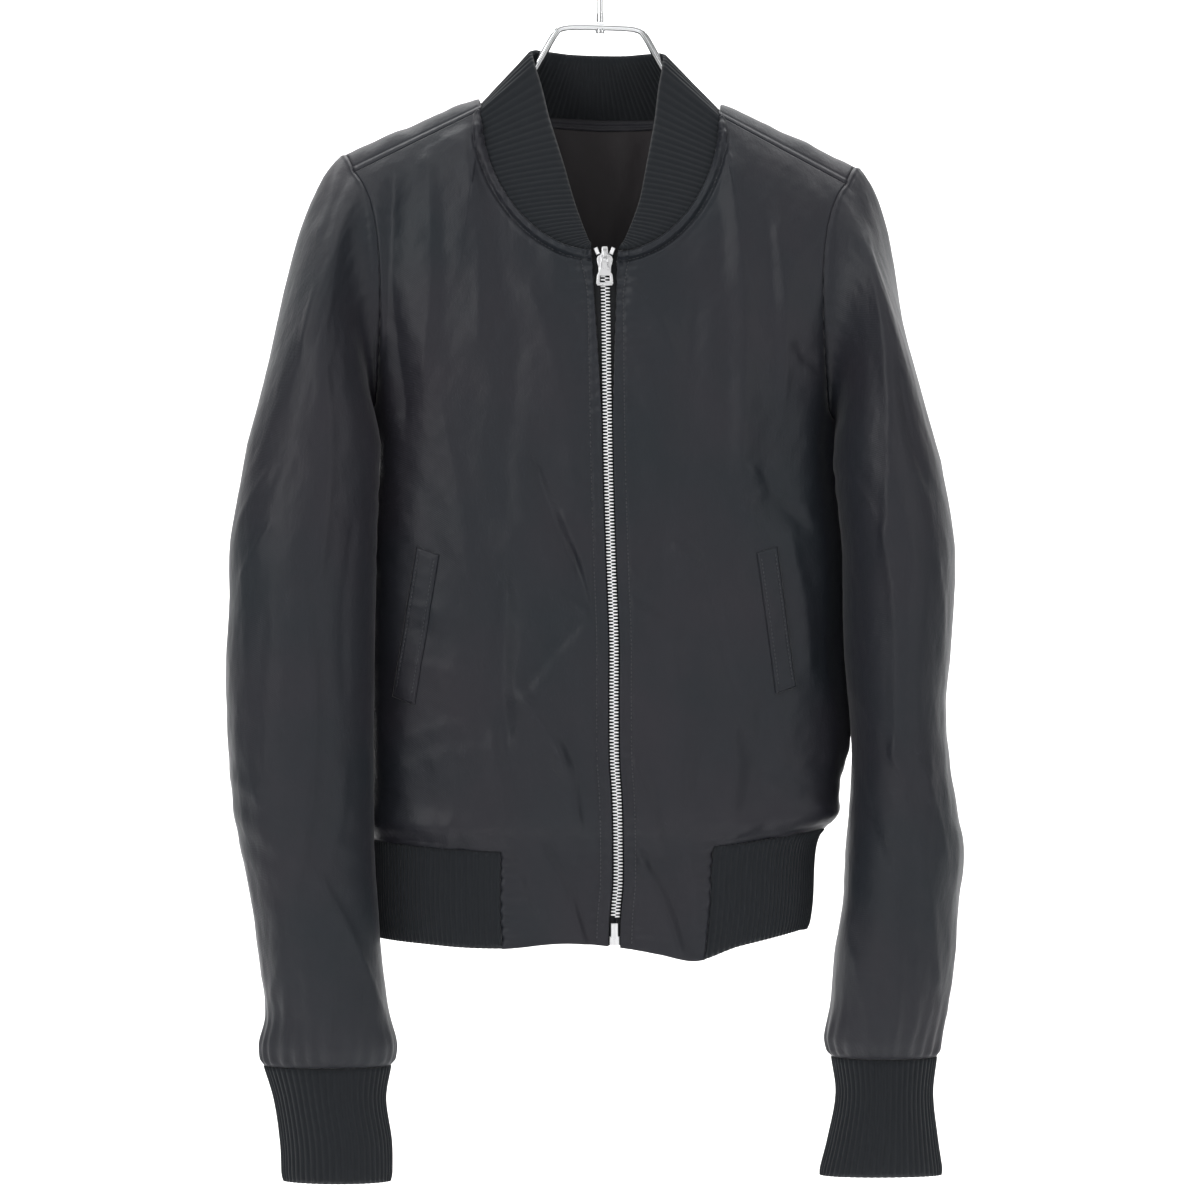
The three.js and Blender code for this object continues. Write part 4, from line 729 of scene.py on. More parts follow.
def cloth_material(name, colour, dark, roughness, sheen, weave, crease):
    """Woven satin: fine slanting weave, faint colour drift and small press creases, on Object coordinates."""
    mat, tree, shader = new_material(name)
    coords = node(tree, "ShaderNodeTexCoord")
    drift = node(tree, "ShaderNodeTexNoise", Scale=9.0, Detail=3.0)
    tree.links.new(coords.outputs["Object"], drift.inputs["Vector"])
    blend = node(tree, "ShaderNodeValToRGB")
    blend.color_ramp.elements[0].position = 0.3
    blend.color_ramp.elements[0].color = (*dark, 1)
    blend.color_ramp.elements[1].position = 0.72
    blend.color_ramp.elements[1].color = (*colour, 1)
    tree.links.new(drift.outputs["Fac"], blend.inputs["Fac"])
    tree.links.new(blend.outputs["Color"], shader.inputs["Base Color"])
    twill = node(tree, "ShaderNodeTexWave", Scale=420.0, Distortion=0.6, Detail=1.0)
    twill.bands_direction = "DIAGONAL"
    tree.links.new(coords.outputs["Object"], twill.inputs["Vector"])
    upright = node(tree, "ShaderNodeMapping", Scale=(1, 1, 0.5))
    tree.links.new(coords.outputs["Object"], upright.inputs["Vector"])
    creases = node(tree, "ShaderNodeTexNoise", Scale=26.0, Detail=6.0, Roughness=0.6)
    tree.links.new(upright.outputs["Vector"], creases.inputs["Vector"])
    fine = node(tree, "ShaderNodeBump", Strength=weave, Distance=0.0002)
    tree.links.new(twill.outputs["Fac"], fine.inputs["Height"])
    soft = node(tree, "ShaderNodeBump", Strength=crease, Distance=0.0045)
    tree.links.new(creases.outputs["Fac"], soft.inputs["Height"])
    tree.links.new(fine.outputs["Normal"], soft.inputs["Normal"])
    tree.links.new(soft.outputs["Normal"], shader.inputs["Normal"])
    shader.inputs["Roughness"].default_value = roughness
    shader.inputs["Sheen Weight"].default_value = sheen
    shader.inputs["Sheen Roughness"].default_value = 0.35
    shader.inputs["Specular IOR Level"].default_value = 0.3
    return mat


def knit_material(name, colour, dark):
    """Rib knit: rows of small stitches across the wales, fuzzy and matt; the grooves between the stitch rows are
    painted darker as painted shade.
    """
    mat, tree, shader = new_material(name)
    coords = node(tree, "ShaderNodeTexCoord")
    rows = node(tree, "ShaderNodeTexWave", Scale=430.0, Distortion=1.6, Detail=1.0)
    rows.bands_direction = "Z"
    tree.links.new(coords.outputs["Object"], rows.inputs["Vector"])
    fuzz = node(tree, "ShaderNodeTexNoise", Scale=900.0, Detail=3.0)
    tree.links.new(coords.outputs["Object"], fuzz.inputs["Vector"])
    height = node(tree, "ShaderNodeMath", operation="ADD")
    tree.links.new(rows.outputs["Fac"], height.inputs[0])
    tree.links.new(fuzz.outputs["Fac"], height.inputs[1])
    bump = node(tree, "ShaderNodeBump", Strength=0.3, Distance=0.0003)
    tree.links.new(height.outputs["Value"], bump.inputs["Height"])
    tree.links.new(bump.outputs["Normal"], shader.inputs["Normal"])
    # Painted shade: the base colour follows the stitch rows' height and is darker (the dark colour) in the grooves
    # between rows.
    row_groove_shade = node(tree, "ShaderNodeValToRGB")
    row_groove_shade.color_ramp.elements[0].color = (*dark, 1)
    row_groove_shade.color_ramp.elements[1].color = (*colour, 1)
    tree.links.new(rows.outputs["Fac"], row_groove_shade.inputs["Fac"])
    tree.links.new(row_groove_shade.outputs["Color"], shader.inputs["Base Color"])
    shader.inputs["Roughness"].default_value = 0.92
    shader.inputs["Sheen Weight"].default_value = 0.14
    shader.inputs["Sheen Roughness"].default_value = 0.6
    shader.inputs["Specular IOR Level"].default_value = 0.2
    return mat


def metal_material(name, colour, roughness, scratches):
    """Plated metal with faint wear: roughness varies in fine streaks."""
    mat, tree, shader = new_material(name)
    coords = node(tree, "ShaderNodeTexCoord")
    streaks = node(tree, "ShaderNodeTexNoise", Scale=scratches, Detail=4.0)
    tree.links.new(coords.outputs["Object"], streaks.inputs["Vector"])
    spread = node(tree, "ShaderNodeMapRange")
    spread.inputs["To Min"].default_value = roughness * 0.7
    spread.inputs["To Max"].default_value = roughness * 1.5
    tree.links.new(streaks.outputs["Fac"], spread.inputs["Value"])
    tree.links.new(spread.outputs["Result"], shader.inputs["Roughness"])
    shader.inputs["Base Color"].default_value = (*colour, 1)
    shader.inputs["Metallic"].default_value = 1.0
    return mat


MATERIALS = {}


def material(name):
    """Each finish is made once, from the colours in the sidebar."""
    if name in MATERIALS:
        return MATERIALS[name]
    look = bpy.context.scene.jacket_looks
    satin, knit, lining, tape, thread = map(
        tuple, (look.satin, look.rib_knit, look.lining, look.zip_tape, look.thread)
    )
    cool = (satin[0] * 0.6, satin[1] * 0.84, satin[2] * 0.84)
    made = {
        "satin": lambda: cloth_material("satin", satin, cool, look.satin_roughness, 0.1, 0.25, 0.4),
        "lining": lambda: cloth_material("lining", lining, lining, 0.5, 0.1, 0.2, 0.2),
        # Each knit's darker colour is painted shade for the grooves between its stitch rows.
        "rib_knit": lambda: knit_material("rib_knit", knit, tuple(c * 0.8 for c in knit)),
        "zip_tape": lambda: knit_material("zip_tape", tape, tuple(c * 0.6 for c in tape)),
        "thread": lambda: cloth_material("thread", thread, thread, 0.6, 0.2, 0.3, 0.1),
        "zip_metal": lambda: metal_material("zip_metal", (0.9, 0.9, 0.91), 0.28, 700.0),
        "hanger_metal": lambda: metal_material("hanger_metal", (0.78, 0.79, 0.8), 0.1, 160.0),
    }[name]()
    MATERIALS[name] = made
    return made


class JacketLooks(bpy.types.PropertyGroup):
    """Colours of the jacket's finishes."""

    satin: bpy.props.FloatVectorProperty(
        name="Satin", description="Colour of the satin shell",
        subtype="COLOR", default=(0.0195, 0.0182, 0.0240), min=0, max=1,
    )
    satin_roughness: bpy.props.FloatProperty(
        name="Satin roughness", description="How dull the satin is",
        default=0.46, min=0.1, max=1, subtype="FACTOR",
    )
    lining: bpy.props.FloatVectorProperty(
        name="Lining", description="Colour of the inside",
        subtype="COLOR", default=(0.024, 0.020, 0.022), min=0, max=1,
    )
    rib_knit: bpy.props.FloatVectorProperty(
        name="Rib knit", description="Colour of collar, cuffs and hem",
        subtype="COLOR", default=(0.0095, 0.012, 0.0155), min=0, max=1,
    )
    zip_tape: bpy.props.FloatVectorProperty(
        name="Zip tape", description="Colour of the zip's tapes",
        subtype="COLOR", default=(0.012, 0.013, 0.015), min=0, max=1,
    )
    thread: bpy.props.FloatVectorProperty(
        name="Thread", description="Colour of the topstitching",
        subtype="COLOR", default=(0.05, 0.052, 0.058), min=0, max=1,
    )


class JacketSizes(bpy.types.PropertyGroup):
    """Sizes of the visible detail."""

    cloth: bpy.props.FloatProperty(
        name="Shell thickness", description="Thickness of satin and lining together",
        default=0.0014, min=0.0005, max=0.003, unit="LENGTH",
    )
    rib: bpy.props.FloatProperty(
        name="Rib thickness", description="Thickness of the doubled rib knit",
        default=0.003, min=0.001, max=0.005, unit="LENGTH",
    )
    tooth_pitch: bpy.props.FloatProperty(
        name="Tooth pitch", description="Distance between zip teeth on one side",
        default=0.00244, min=0.001, max=0.005, unit="LENGTH",
    )
    stitch: bpy.props.FloatProperty(
        name="Stitch length", description="Length of one topstitch with its gap",
        default=0.003, min=0.001, max=0.006, unit="LENGTH",
    )


# Each piece of cloth: grid size, placing, and the size it was cut to
def spaced(t, *knots):
    """Spreads an even 0 to 1 over steps of uneven spacing; each knot is a share of the steps and its value."""
    return np.interp(t, [k[0] for k in knots], [k[1] for k in knots])


class JACKET_OT_fronts(bpy.types.Operator):
    """Make both fronts, each one piece from the neckline to the hem beside the zip"""

    bl_idname = "jacket.fronts"
    bl_label = "Fronts"

    def execute(self, context):
        columns, rows = 150, 220
        tab, seam = 0.28, 0.8
        for side, name in ((-1, "front_right"), (1, "front_left")):

            def place(u, v, side=side):
                s = spaced(u, (0, 0), (0.16, 0.085), (tab, TAB_SHARE), (0.38, 0.44), (0.66, 0.55), (1, 1))
                down = spaced(v, (0, 0), (0.07, 0.085), (0.36, 1), (0.76, 1.93), (seam, 2), (1, 3))
                return front_cloth(side, s, down)[0]

            bm = sheet_bmesh(columns, rows, place, keep=lambda u, v: v < seam or u < tab)
            face_outwards(bm, lambda p: Vector((0, -1, 0)))
            piece = object_from(bm, "satin_" + name, "satin", BODY, [name], material("satin"), material("lining"))
            thicken(piece, context.scene.jacket_sizes.cloth, 1)
        return {"FINISHED"}


class JACKET_OT_back(bpy.types.Operator):
    """Make the back, which passes over the shoulders to the seams in front of them"""

    bl_idname = "jacket.back"
    bl_label = "Back"

    def execute(self, context):
        def place(u, v):
            return back_cloth(u * 2 - 1, spaced(v, (0, 0), (0.06, 0.05), (0.5, 1), (0.95, 1.93), (1, 2)))[0]

        bm = sheet_bmesh(140, 180, place)
        face_outwards(bm, lambda p: Vector((0, 1, 0.2)))
        piece = object_from(bm, "satin_back", "satin", BODY, ["back"], material("satin"), material("lining"))
        thicken(piece, context.scene.jacket_sizes.cloth, 1)
        return {"FINISHED"}


class JACKET_OT_sleeves(bpy.types.Operator):
    """Make both sleeves from the armhole to the gathered cuff seam"""

    bl_idname = "jacket.sleeves"
    bl_label = "Sleeves"

    def execute(self, context):
        for side, name in ((-1, "sleeve_right"), (1, "sleeve_left")):

            def place(u, v, side=side):
                return sleeve_cloth(side, u, spaced(v, (0, 0), (0.07, 0.035), (0.34, CAP), (0.93, 0.965), (1, 1)))[0]

            bm = sheet_bmesh(120, 200, place, closed=True)
            middle = side * 0.215
            face_outwards(bm, lambda p, middle=middle: Vector((p.x - middle, p.y + 0.03, 0)))
            piece = object_from(bm, "satin_" + name, "satin", BODY, [name], material("satin"), material("lining"))
            thicken(piece, context.scene.jacket_sizes.cloth, 1)
        return {"FINISHED"}


POINTS_PER_RIB = 8


class JACKET_OT_collar(bpy.types.Operator):
    """Make the doubled rib collar, ribbed outside and inside over a folded rim"""

    bl_idname = "jacket.collar"
    bl_label = "Collar"

    def execute(self, context):
        ribs = 126
        thick = context.scene.jacket_sizes.rib / MM

        def place(u, v):
            face = np.clip(1 - np.abs(2 * v - 1) * 1.04 + 0.04, 0, 1)
            turn = np.clip((v - 0.5) * 22, -1, 1)
            side_of = np.sin(turn * math.pi / 2)
            middle = collar_face(u, face)
            inside, between = np.clip(u, 0.003, 0.997), np.clip(face, 0.02, 0.98)
            n = normals_of(collar_face, inside, between, 2e-3, 1e-2, stack(u * 0, u * 0 - 1, 0.6))
            front_facing = middle - n * (thick / 2 + 0.1)
            relief = knit_rib(u * ribs) * 0.5
            return front_facing + n * ((-side_of) * (thick / 2 + relief))[..., None]

        bm = sheet_bmesh(ribs * POINTS_PER_RIB, 26, place)
        bmesh.ops.recalc_face_normals(bm, faces=bm.faces[:])
        piece = object_from(bm, "rib_collar", "rib_knit", BODY, ["collar"], material("rib_knit"))
        return {"FINISHED"}


class JACKET_OT_neck_facing(bpy.types.Operator):
    """Make the narrow facing inside the back neck, below the collar's seam"""

    bl_idname = "jacket.neck_facing"
    bl_label = "Back neck facing"

    def execute(self, context):
        def place(u, v):
            p, n = back_cloth((u * 2 - 1) * 0.47, mix(0.004, 0.046, v))
            edge = np.minimum(v, 1 - v) * 9.7
            return p - n * (2.1 + 0.7 * fade(edge, 0, 1.4) - 0.35 * np.exp(-((edge - 2.2) / 0.5) ** 2))[..., None]

        bm = sheet_bmesh(150, 18, place)
        face_outwards(bm, lambda p: Vector((0, -1, 0)))
        piece = object_from(bm, "back_neck_facing", "satin", BODY, [], material("satin"))
        thicken(piece, 0.0006)
        return {"FINISHED"}


class JACKET_OT_cuffs(bpy.types.Operator):
    """Make both rib cuffs"""

    bl_idname = "jacket.cuffs"
    bl_label = "Cuffs"

    def execute(self, context):
        ribs = 54
        for side, name in ((-1, "cuff_right"), (1, "cuff_left")):
            rows = CUFFS[side]
            top, foot = rows["z"].max(), rows["z"].min()

            def place(u, v, side=side, rows=rows, top=top, foot=foot):
                z = mix(top, foot, v)
                base = ring_point(side, rows, u, z)
                guess = stack(-side * np.cos(2 * math.pi * u), -np.sin(2 * math.pi * u), 0)
                n = normals_of(lambda a, b: ring_point(side, rows, a, b), u, z, 2e-3, 0.5, guess)
                edge = np.exp(-((1 - v) * 87 / 3) ** 2) * 1.2
                wave = 0.8 * np.sin(2 * math.pi * (2 * u + 0.15 * side)) * v
                return base + n * (knit_rib(u * ribs) * 0.75 - edge + wave)[..., None]

            bm = sheet_bmesh(ribs * POINTS_PER_RIB, 26, place, closed=True)
            middle = side * 0.2
            face_outwards(bm, lambda p, middle=middle: Vector((p.x - middle, p.y + 0.03, 0)))
            piece = object_from(bm, "rib_" + name, "rib_knit", BODY, [name], material("rib_knit"))
            thicken(piece, context.scene.jacket_sizes.rib * 0.8)
        return {"FINISHED"}


def hem_point(u, v):
    """The hem rib from the right tab round the back to the left tab."""
    start, end = -TAB_ANGLE[-1] - 0.16, TAB_ANGLE[1] + 0.16 - 360
    turn = mix(start, end, np.asarray(u, float))
    front = (turn > -90) | (turn < -270)
    angle = np.where(turn < -270, turn + 360, turn)
    x = 0 * angle
    for _ in range(4):
        z = mix(read(RIB_SEAM, "x", "z", x) - SEAM, read(HEM_LINE, "x", "z", x), v)
        p = np.where(front[..., None], body_point(angle, z, "front"), body_point(-180 - angle, z, "back"))
        x = p[..., 0]
    return p


class JACKET_OT_hem(bpy.types.Operator):
    """Make the hem rib"""

    bl_idname = "jacket.hem"
    bl_label = "Hem rib"

    def execute(self, context):
        ribs = 168

        def place(u, v):
            base = hem_point(u, v)
            guess = stack(0.3 * np.sign(base[..., 0]), np.sign(base[..., 1]), 0)
            n = normals_of(hem_point, np.clip(u, 1e-3, 0.999), np.clip(v, 0.01, 0.99), 5e-4, 1e-2, guess)
            edge = np.exp(-((1 - v) * 72 / 3) ** 2) * 1.2
            soft = 0.9 * np.sin(base[..., 0] / 19) * v + 0.7 * np.sin(base[..., 0] / 8.7 + 1) * v * v
            return base + n * (knit_rib(u * ribs) * 0.75 - edge + soft)[..., None]

        bm = sheet_bmesh(ribs * POINTS_PER_RIB, 20, place)
        face_outwards(bm, lambda p: Vector((p.x, p.y, 0)))
        piece = object_from(bm, "rib_hem", "rib_knit", BODY, ["hem_rib"], material("rib_knit"))
        thicken(piece, context.scene.jacket_sizes.rib * 0.8)
        return {"FINISHED"}


WELT_FACE = 1.75
WELTS = {-1: ((-125, -484), (-143, -592), 17), 1: ((121, -480), (135, -584), 15)}


def skirt_place(side, x, z):
    """Where a point of the lower front lies on its grid."""
    left, right = read(SECTIONS, "z", "left", z), read(SECTIONS, "z", "right", z)
    angle = np.degrees(np.arcsin(np.clip(side * (x - (left + right) / 2) / ((right - left) / 2), -1, 1)))
    s = TAB_SHARE + (angle - TAB_ANGLE[side]) / (90 - TAB_ANGLE[side]) * (1 - TAB_SHARE)
    return s, 1 + (z - ARMPIT_Z) / (read(RIB_SEAM, "x", "z", x) - ARMPIT_Z)


def welt_spot(side, a, b):
    """A spot of the welt: a across it, b down it, as x and z."""
    (x0, z0), (x1, z1), wide = WELTS[side]
    x = mix(x0, x1, b) + (a - 0.5) * wide
    return x, mix(z0, z1, b) + side * (a - 0.5) * wide * 0.35


class JACKET_OT_welts(bpy.types.Operator):
    """Make the two slanted pocket welts on the fronts"""

    bl_idname = "jacket.welts"
    bl_label = "Pocket welts"

    def execute(self, context):
        for side, name in ((-1, "welt_right"), (1, "welt_left")):

            def place(u, v, side=side):
                x, z = welt_spot(side, u, v)
                base, n = front_cloth(side, *skirt_place(side, x, z))
                edge = np.minimum(np.minimum(u, 1 - u) * 16, np.minimum(v, 1 - v) * 108)
                height = 0.5 + 1.7 * fade(edge, 0, 1.6) - 0.35 * np.exp(-((edge - 2.6) / 0.7) ** 2)
                return base + n * height[..., None]

            bm = sheet_bmesh(26, 120, place)
            face_outwards(bm, lambda p: Vector((0, -1, 0)))
            piece = object_from(bm, name + "_cloth", "satin", BODY, [name], material("satin"))
            thicken(piece, 0.0011)
        return {"FINISHED"}


ZIP_TOP = -262
CHAIN_TOP = -285.5
CHAIN_FOOT = -753
BOX_FOOT = -769.5


def zip_depth(z):
    """Depth of the fronts' surface at the zip."""
    z = np.asarray(z, float)
    low = NECK_SIDE[2] - NECK_DROP
    zero = np.zeros_like(z)
    yoke = bezier(*front_column(1, zero), np.clip((z - ARMPIT_Z) / (low - ARMPIT_Z), 0, 1))[..., 1]
    return np.where(z > ARMPIT_Z, yoke, -read(SECTIONS, "z", "front", z))


class JACKET_OT_zip_tapes(bpy.types.Operator):
    """Make the woven zip tapes behind the fronts' edges"""

    bl_idname = "jacket.zip_tapes"
    bl_label = "Zip tapes"

    def execute(self, context):
        for side, name in ((-1, "zip_tape_right"), (1, "zip_tape_left")):

            def place(u, v, side=side):
                z = mix(ZIP_TOP - 4, BOX_FOOT, v)
                bead = 0.55 * np.exp(-((u - 0.12) / 0.09) ** 2)
                return stack(zip_x(z) + side * mix(1.2, 12, u), zip_depth(z) + 2.6 - bead, z)

            bm = sheet_bmesh(12, 200, place)
            face_outwards(bm, lambda p: Vector((0, -1, 0)))
            piece = object_from(bm, name + "_cloth", "zip_tape", BODY, [name], material("zip_tape"))
            thicken(piece, 0.0006)
        return {"FINISHED"}


def spot_matrix(at, x_axis, z_axis, size):
    """A matrix that puts a unit shape at a place, its x and z along the given axes."""
    x = Vector(x_axis).normalized()
    z = Vector(z_axis)
    y = z.cross(x).normalized()
    z = x.cross(y)
    turn = Matrix((x, y, z)).transposed().to_4x4()
    return Matrix.Translation(at) @ turn @ Matrix.Diagonal((*size, 1))


class JACKET_OT_zip_teeth(bpy.types.Operator):
    """Make the zip's metal teeth, two rows that mesh"""

    bl_idname = "jacket.zip_teeth"
    bl_label = "Zip teeth"

    def execute(self, context):
        pitch = context.scene.jacket_sizes.tooth_pitch / MM
        bm = bmesh.new()
        count = int((CHAIN_TOP - CHAIN_FOOT) / pitch)
        for side in (-1, 1):
            for k in range(count):
                z = CHAIN_TOP + 2 - (k + (0.5 if side > 0 else 0)) * pitch
                at = leaning(stack(zip_x(z) + side * 1.55, zip_depth(z) + 1.15, z)) * MM
                size = (3.6 * MM, 2.1 * MM, 1.4 * MM)
                made = bmesh.ops.create_cube(bm, size=1, matrix=spot_matrix(at, (1, 0, 0), (0, 0, 1), size))
                outer = [v for v in made["verts"] if (v.co.x - at[0]) * side > 0]
                bmesh.ops.scale(bm, vec=(1, 1, 0.62), space=Matrix.Translation(-Vector(at)), verts=outer)
        bmesh.ops.bevel(bm, geom=bm.edges[:], offset=0.00022, segments=1, affect="EDGES", profile=0.5, material=-1)
        object_from(bm, "zip_teeth", "zip_metal", BODY, ["zip_chain"], material("zip_metal"))
        return {"FINISHED"}


SLIDER_Z = -272.5
SLIDER_TIP = math.radians(-4)
AXIS_Y = -4.6
AXIS_Z = 4.5
PLATE_FRONT = -3.2


def slider_place():
    """Where the slider's own frame lies: on the zip's line, tipped with the cloth's slope."""
    at = Vector((float(zip_x(SLIDER_Z)), float(zip_depth(np.array(SLIDER_Z))) + 0.6, SLIDER_Z)) * MM
    return Matrix.Translation(at) @ Matrix.Rotation(SLIDER_TIP, 4, "X")


def plate(bm, outline, thick, y, place, rounding=0.3, windows=()):
    """A plate in the XZ plane from an outline, its edges rounded; the windows argument is not used."""
    part = bmesh.new()
    ring = [part.verts.new((x, y, z)) for x, z in outline]
    face = part.faces.new(ring)
    grown = bmesh.ops.extrude_face_region(part, geom=[face])
    moved = [g for g in grown["geom"] if isinstance(g, bmesh.types.BMVert)]
    bmesh.ops.translate(part, vec=(0, thick, 0), verts=moved)
    bmesh.ops.recalc_face_normals(part, faces=part.faces[:])
    rim = [e for e in part.edges if abs(e.verts[0].co.y - e.verts[1].co.y) < 1e-6]
    bmesh.ops.bevel(part, geom=rim, offset=rounding, segments=3, affect="EDGES", profile=0.5, material=-1)
    bmesh.ops.scale(part, vec=(MM, MM, MM), verts=part.verts[:])
    bmesh.ops.transform(part, matrix=place, verts=part.verts[:])
    copy = bpy.data.meshes.new("plate")
    part.to_mesh(copy)
    part.free()
    bm.from_mesh(copy)
    bpy.data.meshes.remove(copy)


def box_outline(half, low, high):
    return [(-half, low), (half, low), (half, high), (-half, high)]


class JACKET_OT_slider(bpy.types.Operator):
    """Make the zip's slider with its bridge, the top stops and the box"""

    bl_idname = "jacket.slider"
    bl_label = "Slider, stops and box"

    def execute(self, context):
        place = slider_place()
        bm = bmesh.new()
        half = [
            (1.5, 10.5), (2.2, 9.8), (2.4, 5.2), (5.2, 3.2), (5.9, 1.2),
            (5.5, -1.6), (4.6, -4.6), (4.6, -9.8), (3.9, -10.5),
        ]
        shield = [(-x, z) for x, z in half] + half[::-1]
        plate(bm, shield, 1.7, PLATE_FRONT, place, 0.45)
        plate(bm, box_outline(1.6, -9, 9), 5.5, PLATE_FRONT + 1.5, place, 0.2)
        plate(bm, box_outline(4.4, -10, 6), 1.2, PLATE_FRONT + 6.8, place, 0.3)
        for side in (-1, 1):
            half = [(4.4, -10.2), (3.5, -10.2), (3.6, -4.4), (4.9, 1.0), (5.6, 1.0), (5.2, -1.6), (4.4, -4.6)]
            cheek = [(side * x, z) for x, z in half]
            plate(bm, cheek, 1.3, PLATE_FRONT + 1.6, place, 0.15)
        for low, high, thick in ((1.9, 3.5, 3.8), (-3.5, -1.9, 3.8), (-3.5, 3.5, 0.85)):
            post = box_outline(1.2, AXIS_Z + low, AXIS_Z + high)
            plate(bm, post, thick, PLATE_FRONT - 3.6, place, 0.28)
        object_from(bm, "slider_body", "zip_metal", BODY, ["zip_slider"], material("zip_metal"))
        for side, name in ((-1, "zip_stop_right"), (1, "zip_stop_left")):
            stop = bmesh.new()
            at = Vector((float(zip_x(-265)) + side * 5.6, float(zip_depth(np.array(-265.0))) + 0.6, -265)) * MM
            turn = Matrix.Translation(at) @ Matrix.Rotation(side * math.radians(22), 4, "Y")
            plate(stop, box_outline(1.5, -2.7, 2.7), 2.4, -1.2, turn, 0.5)
            object_from(stop, name + "_metal", "zip_metal", BODY, [name], material("zip_metal"))
        box = bmesh.new()
        middle = (CHAIN_FOOT + BOX_FOOT) / 2
        at = Vector((float(zip_x(middle)), float(zip_depth(np.array(middle))), middle)) * MM
        plate(box, box_outline(3.6, -8, -1.5), 2.4, -0.6, Matrix.Translation(at), 0.5)
        plate(box, box_outline(2.6, -2.2, 8), 2.2, -0.4, Matrix.Translation(at), 0.45)
        plate(box, box_outline(0.35, -7.4, 7.4), 0.5, -1.0, Matrix.Translation(at), 0.12)
        object_from(box, "zip_box_metal", "zip_metal", BODY, ["zip_box"], material("zip_metal"))
        return {"FINISHED"}


class JACKET_OT_pull(bpy.types.Operator):
    """Make the slider's pull tab, with its eye round the bridge and a window near its end"""

    bl_idname = "jacket.pull"
    bl_label = "Pull tab"

    def execute(self, context):
        place = slider_place()
        bm = bmesh.new()
        back = AXIS_Y - 0.7
        top = AXIS_Z + 0.7
        eye, slot = AXIS_Z - 5.4, (-16.2, -10.8)
        plate(bm, box_outline(2.9, AXIS_Z - 0.7, top), 1.4, back, place, 0.3)
        for side in (-1, 1):
            arm = [(side * 1.6, top), (side * 2.9, top), (side * 2.9, -4), (side * 3.4, -6), (side * 1.6, -6)]
            plate(bm, arm, 1.4, back, place, 0.3)
            half = [(3.6, -10.4), (5.6, -10.4), (6.2, -16.9), (5.4, -18.2), (3.6, -18.2)]
            rail = [(side * x, z) for x, z in half]
            plate(bm, rail, 1.4, back, place, 0.35)
        waist = [(-3.0, eye), (3.0, eye), (3.4, -6), (5.7, -11.2), (-5.7, -11.2), (-3.4, -6)]
        plate(bm, waist, 1.4, back, place, 0.35)
        plate(bm, box_outline(5.4, -18.4, slot[0]), 1.4, back, place, 0.35)
        object_from(bm, "pull_tab_metal", "zip_metal", PULL_BODY, ["zip_pull"], material("zip_metal"))
        return {"FINISHED"}


class JACKET_OT_stitches(bpy.types.Operator):
    """Sew the topstitching beside the zip, round the neckline, on the welts and at the tabs"""

    bl_idname = "jacket.stitches"
    bl_label = "Topstitching"

    def execute(self, context):
        length = context.scene.jacket_sizes.stitch / MM
        for side, name in ((-1, "stitches_right"), (1, "stitches_left")):
            lines = []
            v = np.linspace(0.06, 2.97, 1200)
            z = front_point(side, v * 0, v)[..., 2]
            share = 8.5 / 190 + 0 * z
            for _ in range(4):
                p = front_point(side, share, v)
                share = share * 8.5 / np.maximum(np.abs(p[..., 0] - zip_x(p[..., 2])) - zip_gap(p[..., 2]), 0.5)
                share = np.clip(share, 0.01, 0.2)
            lines.append((share, v))
            s = np.linspace(0.03, 0.498, 500)
            v = BAND_WIDTH / yoke_length(s)
            for _ in range(6):
                p = front_point(side, s, v)
                off = np.maximum(neck_away(side, p[..., 0], p[..., 2]), 0.5)
                v = np.clip(v * np.clip(BAND_WIDTH / off, 0.6, 1.6), 0.005, 0.5)
            lines.append((s, v))
            b = np.linspace(0.03, 0.97, 300)
            for a in (0.17, 0.83):
                lines.append(skirt_place(side, *welt_spot(side, a + 0 * b, b)) + (WELT_FACE,))
            bm = bmesh.new()
            for line in lines:
                lift = line[2] if len(line) > 2 else 0.0
                p, n = front_cloth(side, line[0], line[1])
                p = leaning(p + n * (lift + 0.12))
                run = np.concatenate([[0], np.cumsum(np.linalg.norm(np.diff(p, axis=0), axis=1))])
                spots = np.arange(length, run[-1] - length, length)
                mids = [np.interp(spots, run, p[:, k]) for k in range(3)]
                nexts = [np.interp(spots + 1, run, p[:, k]) for k in range(3)]
                facing = [np.interp(spots, run, n[:, k]) for k in range(3)]
                for at, to, up in zip(np.stack(mids, 1), np.stack(nexts, 1), np.stack(facing, 1)):
                    size = (length * 0.72 * MM / 2, 0.42 * MM, 0.3 * MM)
                    matrix = spot_matrix(at * MM, to - at, up, size)
                    bmesh.ops.create_icosphere(bm, subdivisions=1, radius=1, matrix=matrix)
            for face in bm.faces:
                face.smooth = True
            object_from(bm, name, "satin", BODY, [], material("thread"))
        return {"FINISHED"}


HANGER_POINTS = [
    (-178, -203), (-150, -189), (-110, -170.5), (-80, -157), (-64, -148), (-53, -134), (-44, -119), (-33, -100),
    (-27, -95.6), (-14, -94.5), (14, -94.5), (27, -95.6), (33, -100), (44, -119), (53, -134), (64, -148),
    (80, -157), (110, -170.5), (150, -189), (178, -203),
]
HOOK_POINTS = [
    (0, -91), (0, -70), (0, -54), (5, -45), (15.7, -35.9), (21, -27.5), (22.2, -20), (20.5, -11.5), (15.7, -4.3),
    (8.5, 0.5), (0, 2.2), (-8.5, 0.5), (-15.7, -4.3), (-20.5, -11.5), (-22, -20), (-21, -28),
]


